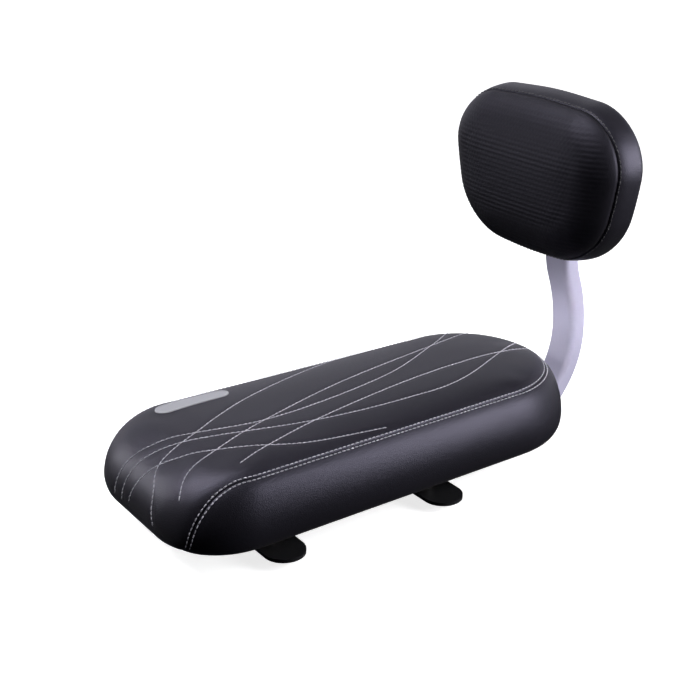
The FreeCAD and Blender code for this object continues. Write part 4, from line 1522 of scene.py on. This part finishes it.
    def stitch_row(self) -> List[Vector]:
        """Row of stitches on the border, beside the seam.

        Returns:
            Closely set points of the row.
        """
        line = self.seam_points()
        row = []
        for i, point in enumerate(line):
            normal = self.bare.find_nearest(point)[1]
            along = line[(i + 2) % len(line)] - line[i - 2]
            side = along.cross(normal).normalized()
            if side.y < 0:
                side = -side
            row.append(point + side * self.row_offset)
        row.append(row[0].copy())
        return row


@dataclass
class Label:
    """Bare stadium label near the nose, with a raised rim. Sizes are in millimetres."""

    across: float = -45.0
    along: float = -99.0
    length: float = 54.0
    width: float = 15.0
    arc_steps: int = 14
    side_steps: int = 16

    # Inset and rise of the rows of points: edge, rim, flat middle
    EDGE = (
        (0.0, -0.3), (0.0, 0.35), (0.15, 0.55), (0.4, 0.65), (0.9, 0.65), (1.15, 0.55), (1.35, 0.42),
        (2.5, 0.42), (4.0, 0.42), (5.5, 0.42), (7.2, 0.42))

    def _rim(self, inset: float) -> List[Vector]:
        """Points of the label's outline at a distance inside its edge."""
        radius = self.width / 2 - inset
        reach = (self.length - self.width) / 2
        rim = []
        for end in (1, -1):
            for i in range(self.arc_steps + 1):
                turn = math.pi * i / self.arc_steps
                aside, ahead = radius * math.cos(turn), reach + radius * math.sin(turn)
                rim.append(Vector((self.across + end * aside, self.along + end * ahead, 0.0)))
            for i in range(1, self.side_steps):
                slide = lerp(reach, -reach, i / self.side_steps)
                rim.append(Vector((self.across - end * radius, self.along + end * slide, 0.0)))
        return rim

    def build(self, skin: BVHTree) -> bpy.types.Object:
        """Makes the label on a cover.

        Args:
            skin: The cover.

        Returns:
            The label.
        """
        points: List[Vector] = []
        for inset, rise in self.EDGE:
            for spot in self._rim(inset):
                above = Vector((spot.x, spot.y, 90.0))
                place, normal = skin.ray_cast(above, Vector((0.0, 0.0, -1.0)))[:2]
                points.append(place + normal * rise)
        count = len(points) // len(self.EDGE)
        faces = [tuple(reversed(range(count))), *ring_faces(len(self.EDGE), count)]
        last = len(points) - count
        for end in (0, count // 2):
            faces.append(tuple(range(last + end, last + end + self.arc_steps + 1)))
        for i in range(self.side_steps):
            near = last + self.arc_steps + i
            faces.append((near, near + 1, last + count - 1 - i, last + (count - i) % count))
        return new_piece("seat_label_foil", points, faces)


@dataclass(frozen=True)
class Lamp:
    """Soft light with an oblong face. Sizes are in millimetres.

    Args:
        name: Name of the light.
        at: Its place.
        to: Point that it faces.
        size: Width and height of its face.
        power: Power in watts.
        spread: Angle that a grid lets the light through, in degrees.
    """

    name: str
    at: Spot
    to: Spot
    size: Tuple[float, float]
    power: float
    spread: float = 180.0

    def build(self) -> None:
        """Makes the light."""
        data = bpy.data.lights.new(self.name, "AREA")
        data.shape = "RECTANGLE"
        data.size = self.size[0] * MM
        data.size_y = self.size[1] * MM
        data.energy = self.power
        data.spread = math.radians(self.spread)
        light = bpy.data.objects.new(self.name, data)
        facing = (Vector(self.to) - Vector(self.at)).to_track_quat("-Z", "Y").to_matrix().to_4x4()
        light.matrix_world = Matrix.Translation(Vector(self.at) * MM) @ facing
        bpy.context.scene.collection.objects.link(light)


@dataclass
class Studio:
    """Camera, soft lights and pale floor. Sizes are in millimetres."""

    camera_at: Spot = (677.7, -473.3, 416.7)
    azimuth: float = 55.19
    elevation: float = 22.21
    roll: float = -0.10
    lens: float = 68.34
    floor_height: float = -20.2
    paper_reach: float = 6000.0
    wall_reach: float = 5900.0
    wall_top: float = 5000.0
    wall_sides: int = 96

    # A broad light over the whole, one for the long highlight on the +X side, and gridded ones that reach
    # the front of the nose, its upper edge, the tube and the front of the backrest alone
    LAMPS = (
        Lamp("top_light", (-350.0, -400.0, 1400.0), (0.0, 0.0, 60.0), (800.0, 800.0), 18.0),
        Lamp("side_light", (500.0, 440.0, 310.0), (40.0, 50.0, 60.0), (330.0, 430.0), 4.8),
        Lamp("front_light", (-856.0, -718.0, 315.0), (0.0, -140.0, 45.0), (300.0, 300.0), 0.075, 16.0),
        Lamp("high_light", (-455.0, -780.0, 936.0), (0.0, -120.0, 60.0), (250.0, 250.0), 0.09, 16.0),
        Lamp("tube_light", (250.0, -260.0, 260.0), (0.0, 185.0, 66.0), (50.0, 50.0), 0.0085, 8.0),
        Lamp("panel_light", (-558.0, -550.0, 185.0), (0.0, 165.0, 175.0), (250.0, 250.0), 0.03, 16.0),
    )

    def build(self) -> None:
        """Makes the camera, the floor and the lights."""
        self._add_camera()
        self._add_paper()
        for lamp in self.LAMPS:
            lamp.build()
        self._add_room()
        bpy.context.scene.view_settings.view_transform = "Standard"

    @staticmethod
    def _add_room() -> None:
        """Makes the room: white behind and on the -X side, dark in front, overhead and below the floor."""
        world = bpy.data.worlds.new("white_room")
        world.use_nodes = True
        way = add_node(world, "ShaderNodeTexCoord").outputs["Generated"]
        parts = add_node(world, "ShaderNodeSeparateXYZ", {0: way})
        level = add_node(world, "ShaderNodeMapRange", {"Value": parts.outputs[2], 1: -0.25, 2: 0.0})
        behind = add_node(
            world, "ShaderNodeVectorMath", {0: way, 1: (-0.5, 0.8, 0.33)}, operation="DOT_PRODUCT")
        wall = add_node(world, "ShaderNodeMapRange", {"Value": behind.outputs["Value"], 1: -0.1, 2: 0.4})
        ceiling = add_node(
            world, "ShaderNodeMapRange", {"Value": parts.outputs[2], 1: 0.42, 2: 0.62, 3: 1.0, 4: 0.1})
        walls = add_node(
            world, "ShaderNodeMath", {0: level.outputs[0], 1: wall.outputs[0]}, operation="MULTIPLY")
        share = add_node(
            world, "ShaderNodeMath", {0: walls.outputs[0], 1: ceiling.outputs[0]}, operation="MULTIPLY")
        mix = add_node(
            world, "ShaderNodeMix",
            {0: share.outputs[0], 6: linear("#1c1c20"), 7: linear("#f1f0fc")}, data_type="RGBA")
        sky = world.node_tree.nodes["Background"]
        sky.inputs["Strength"].default_value = 0.82
        world.node_tree.links.new(mix.outputs[2], sky.inputs["Color"])
        bpy.context.scene.world = world

    def _add_camera(self) -> None:
        """Makes the camera at the angle of the photograph."""
        turn, rise = math.radians(self.azimuth), math.radians(self.elevation)
        back = Vector((math.sin(turn) * math.cos(rise), -math.cos(turn) * math.cos(rise), math.sin(rise)))
        data = bpy.data.cameras.new("camera")
        data.lens = self.lens
        data.sensor_width = 36.0
        data.clip_start = 0.01
        camera = bpy.data.objects.new("camera", data)
        turned = (-back).to_track_quat("-Z", "Y").to_matrix().to_4x4()
        rolled = Matrix.Rotation(math.radians(self.roll), 4, "Z")
        camera.matrix_world = Matrix.Translation(Vector(self.camera_at) * MM) @ turned @ rolled
        bpy.context.scene.collection.objects.link(camera)
        bpy.context.scene.camera = camera

    def _add_paper(self) -> None:
        """Makes the floor and the round wall behind it, which only the camera sees."""
        reach, low, sides = self.paper_reach, self.floor_height, self.wall_sides
        corners = [Vector((x * reach, y * reach, low)) for x, y in ((-1, -1), (1, -1), (1, 1), (-1, 1))]
        floor = new_piece("floor", corners, [(0, 1, 2, 3)])
        turns = [2 * math.pi * i / sides for i in range(sides)]
        ring = [Vector((math.cos(turn), math.sin(turn), 0.0)) * self.wall_reach for turn in turns]
        rows = [point + Vector((0.0, 0.0, height)) for height in (low, self.wall_top) for point in ring]
        wall = new_piece("wall", rows, [
            ((i + 1) % sides, i, sides + i, sides + (i + 1) % sides) for i in range(sides)])
        # The paper glows more with distance, so that no horizon shows
        paper = Moulded("pale_paper_sheet", "#f3f3f4", "#eeeeef", (0.7, 0.85)).build()
        place = add_node(paper, "ShaderNodeNewGeometry").outputs["Position"]
        away = add_node(paper, "ShaderNodeVectorMath", {0: place}, operation="LENGTH")
        glow = add_node(
            paper, "ShaderNodeMapRange", {"Value": away.outputs["Value"], 1: 0.5, 2: 1.8, 3: 0.78, 4: 1.0})
        shader = paper.node_tree.nodes["Principled BSDF"]
        shader.inputs["Emission Color"].default_value = linear("#ffffff")
        paper.node_tree.links.new(glow.outputs[0], shader.inputs["Emission Strength"])
        for sheet in (floor, wall):
            sheet.data.materials.append(paper)
            sheet.visible_diffuse = False
            sheet.visible_glossy = False
        wall.visible_shadow = False


@dataclass
class Seat:
    """The long seat: its sewn cover, topstitching, ornament and label."""

    cover: SeatCover
    label: Label
    leather: Leatherette
    thread: Thread
    foil: Paint

    # Points that each sewn line passes, before it is laid on the cover
    ORNAMENT = (
        ((-23.8, -169.5, 11.6), (-19.5, -163.0, 33.0), (-9.9, -144.3, 49.0), (10.8, -76.4, 52.0),
         (-1.4, 24.5, 52.0), (-29.1, 90.0, 52.0), (-52.0, 126.0, 49.0)),
        ((-13.9, -169.9, 11.6), (-9.5, -163.0, 33.0), (-0.8, -145.8, 49.0), (17.8, -94.6, 52.0),
         (29.6, -45.5, 52.0), (34.4, 16.5, 52.0), (29.9, 74.0, 52.0), (-5.0, 153.0, 47.0)),
        ((-4.4, -170.0, 13.7), (3.0, -163.0, 33.0), (16.0, -144.8, 49.0), (35.0, -104.8, 52.0),
         (49.8, -68.3, 51.0), (57.1, -11.8, 49.0)),
        ((29.0, -168.8, 12.2), (21.8, -165.3, 31.8), (11.0, -155.2, 42.8), (0.5, -123.2, 51.5),
         (-25.5, -68.8, 52.0), (-52.7, 9.5, 51.0), (-60.0, 34.0, 47.0)),
        ((45.2, -158.9, 34.7), (35.8, -146.9, 45.9), (27.7, -122.7, 51.0), (10.8, -76.4, 52.0),
         (-10.9, -3.0, 52.0), (-29.1, 90.0, 52.0), (-40.5, 138.0, 48.0)),
        ((49.5, -117.8, 48.0), (41.7, -95.3, 51.0), (27.7, -44.2, 52.0), (13.7, 32.1, 52.0),
         (8.3, 91.8, 52.0), (8.6, 153.0, 47.0)),
    )

    def build(self) -> List[bpy.types.Object]:
        """Makes and dresses the seat's soft pieces.

        Returns:
            The pieces.
        """
        lines = [smooth_path([Vector(spot) for spot in line], 0.6) for line in self.ORNAMENT]
        parts = self.cover.build(lines)
        leather = self.leather.build()
        thread = self.thread.build()
        top, band = parts[Panel.FACE], parts[Panel.BORDER]
        bare = self.cover.bare
        skin = skin_of([top, band])
        seam_thread = Stitch(length=2.6, gap=0.7, thick=0.8).sew(
            "seat_seam_stitches", self.cover.stitch_rows(), bare, skin)
        ornament = Stitch(length=3.2, gap=0.15, thick=0.75).sew("seat_ornament_stitches", lines, bare, skin)
        label = self.label.build(bare)
        for part in (top, band):
            part.data.materials.clear()
            thicken(part, self.cover.thick)
            part.data.materials.append(leather)
        for piece in (seam_thread, ornament):
            piece.data.materials.append(thread)
        label.data.materials.append(self.foil.build())
        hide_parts("seat_top_panel", "seat_foam")
        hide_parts("seat_side_band")
        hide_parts("seat_label")
        pieces = [top, band, seam_thread, ornament, label]
        for piece in pieces:
            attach(piece, BODY)
        return pieces


@dataclass
class Backrest:
    """The backrest: its sewn cover and its stitching."""

    cover: BackCover
    dimpled: Leatherette
    leather: Leatherette
    thread: Thread

    def build(self) -> List[bpy.types.Object]:
        """Makes and dresses the backrest's soft pieces.

        Returns:
            The pieces.
        """
        parts = self.cover.build()
        front, border = parts[Panel.FACE], parts[Panel.BORDER]
        rear = self.cover.rear_panel()
        bare = self.cover.bare
        skin = skin_of([front, border])
        rear_skin = skin_of([rear])
        stitches = Stitch(length=2.6, gap=0.9, thick=0.8).sew(
            "backrest_seam_stitches", [self.cover.stitch_row()], bare, skin)
        rear_stitches = Stitch(length=2.8, gap=0.8, thick=0.8).sew(
            "backrest_rear_stitches", [self.cover.rear_row()], rear_skin, rear_skin)
        leather = self.leather.build()
        for part, finish in ((front, self.dimpled.build()), (border, leather), (rear, leather)):
            part.data.materials.clear()
            if part is not rear:
                thicken(part, self.cover.thick)
            part.data.materials.append(finish)
        thread = self.thread.build()
        stitches.data.materials.append(thread)
        rear_stitches.data.materials.append(thread)
        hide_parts("backrest_front_panel", "backrest_foam")
        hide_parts("backrest_border")
        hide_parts("backrest_rear_panel")
        pieces = [front, border, rear, stitches, rear_stitches]
        for piece in pieces:
            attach(piece, BODY)
        return pieces


FINISHES = {
    Slot.LEATHER: Leatherette("black_leatherette_rolled_grain", "#151419", "#1b1a20", (0.36, 0.48)),
    Slot.DIMPLED: Leatherette(
        "black_leatherette_pressed_dimples", "#141318", "#1a191f", (0.42, 0.56), grain=0.8, gloss=0.33),
    Slot.PLYWOOD: Veneer("birch_plywood_rotary_cut", "#b98f5c", "#9c7444", (0.5, 0.7)),
    Slot.DUST_CLOTH: Felted("black_polypropylene_non_woven", "#1c1c1e", "#2a2a2d", (0.7, 0.9)),
    Slot.FOIL: Paint(
        "silver_grey_printed_foil_die_cut", "#95959c", "#9e9ea4", (0.4, 0.52),
        peel=1.5, depth=0.015, metal=0.25),
    Slot.RUBBER: Moulded(
        "black_rubber_moulded_sheet", "#19191a", "#222223", (0.7, 0.85), texture=1.0, depth=0.08),
    Slot.CLAMP_PAINT: Paint(
        "black_powder_coat_baked", "#161618", "#1d1d20", (0.4, 0.5), peel=1.4, depth=0.06),
    Slot.BRACKET_PAINT: Paint(
        "lavender_silver_enamel_sprayed", "#c8c5e0", "#cfcbe5", (0.32, 0.4), metal=0.1, coat=0.25),
    Slot.PLASTIC: Moulded("black_polyethylene_moulded_plug", "#18181a", "#202022", (0.45, 0.6)),
    Slot.ZINC: Metal("bright_zinc_plated_steel", "#c2c2bd", "#aeafae", (0.24, 0.4)),
}


def dress_nodes() -> None:
    """Gives every shown solid the finish of its slot."""
    made: Dict[str, bpy.types.Material] = {}
    finishes = {slot.value: finish for slot, finish in FINISHES.items()}
    for subpart in frame["record"]["subparts"]:
        name, slot = subpart["node"], subpart["material_slot"]
        node = frame["nodes"][name]
        if node.hide_render:
            continue
        if slot not in made:
            made[slot] = finishes[slot].build()
        node.data.materials.clear()
        node.data.materials.append(made[slot])
        log.info("dressed %s in %s", name, made[slot].name)


def main() -> None:
    """Builds the pieces in order and reports each one."""
    logging.basicConfig(level=logging.INFO, format="%(name)s: %(message)s")
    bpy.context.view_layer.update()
    Studio().build()
    thread = Thread("light_grey_polyester_thread_twisted", "#b9b7c2", "#9b99a6", (0.6, 0.75))
    dark_thread = Thread("black_polyester_thread_twisted", "#2c2b31", "#3a3940", (0.55, 0.7))
    seat = Seat(SeatCover(), Label(), FINISHES[Slot.LEATHER], thread, FINISHES[Slot.FOIL])
    backrest = Backrest(BackCover(), FINISHES[Slot.DIMPLED], FINISHES[Slot.LEATHER], dark_thread)
    for piece in seat.build() + backrest.build():
        log.info("made %s with %d faces", piece.name, len(piece.data.polygons))
    dress_nodes()


if __name__ == "__main__":
    main()
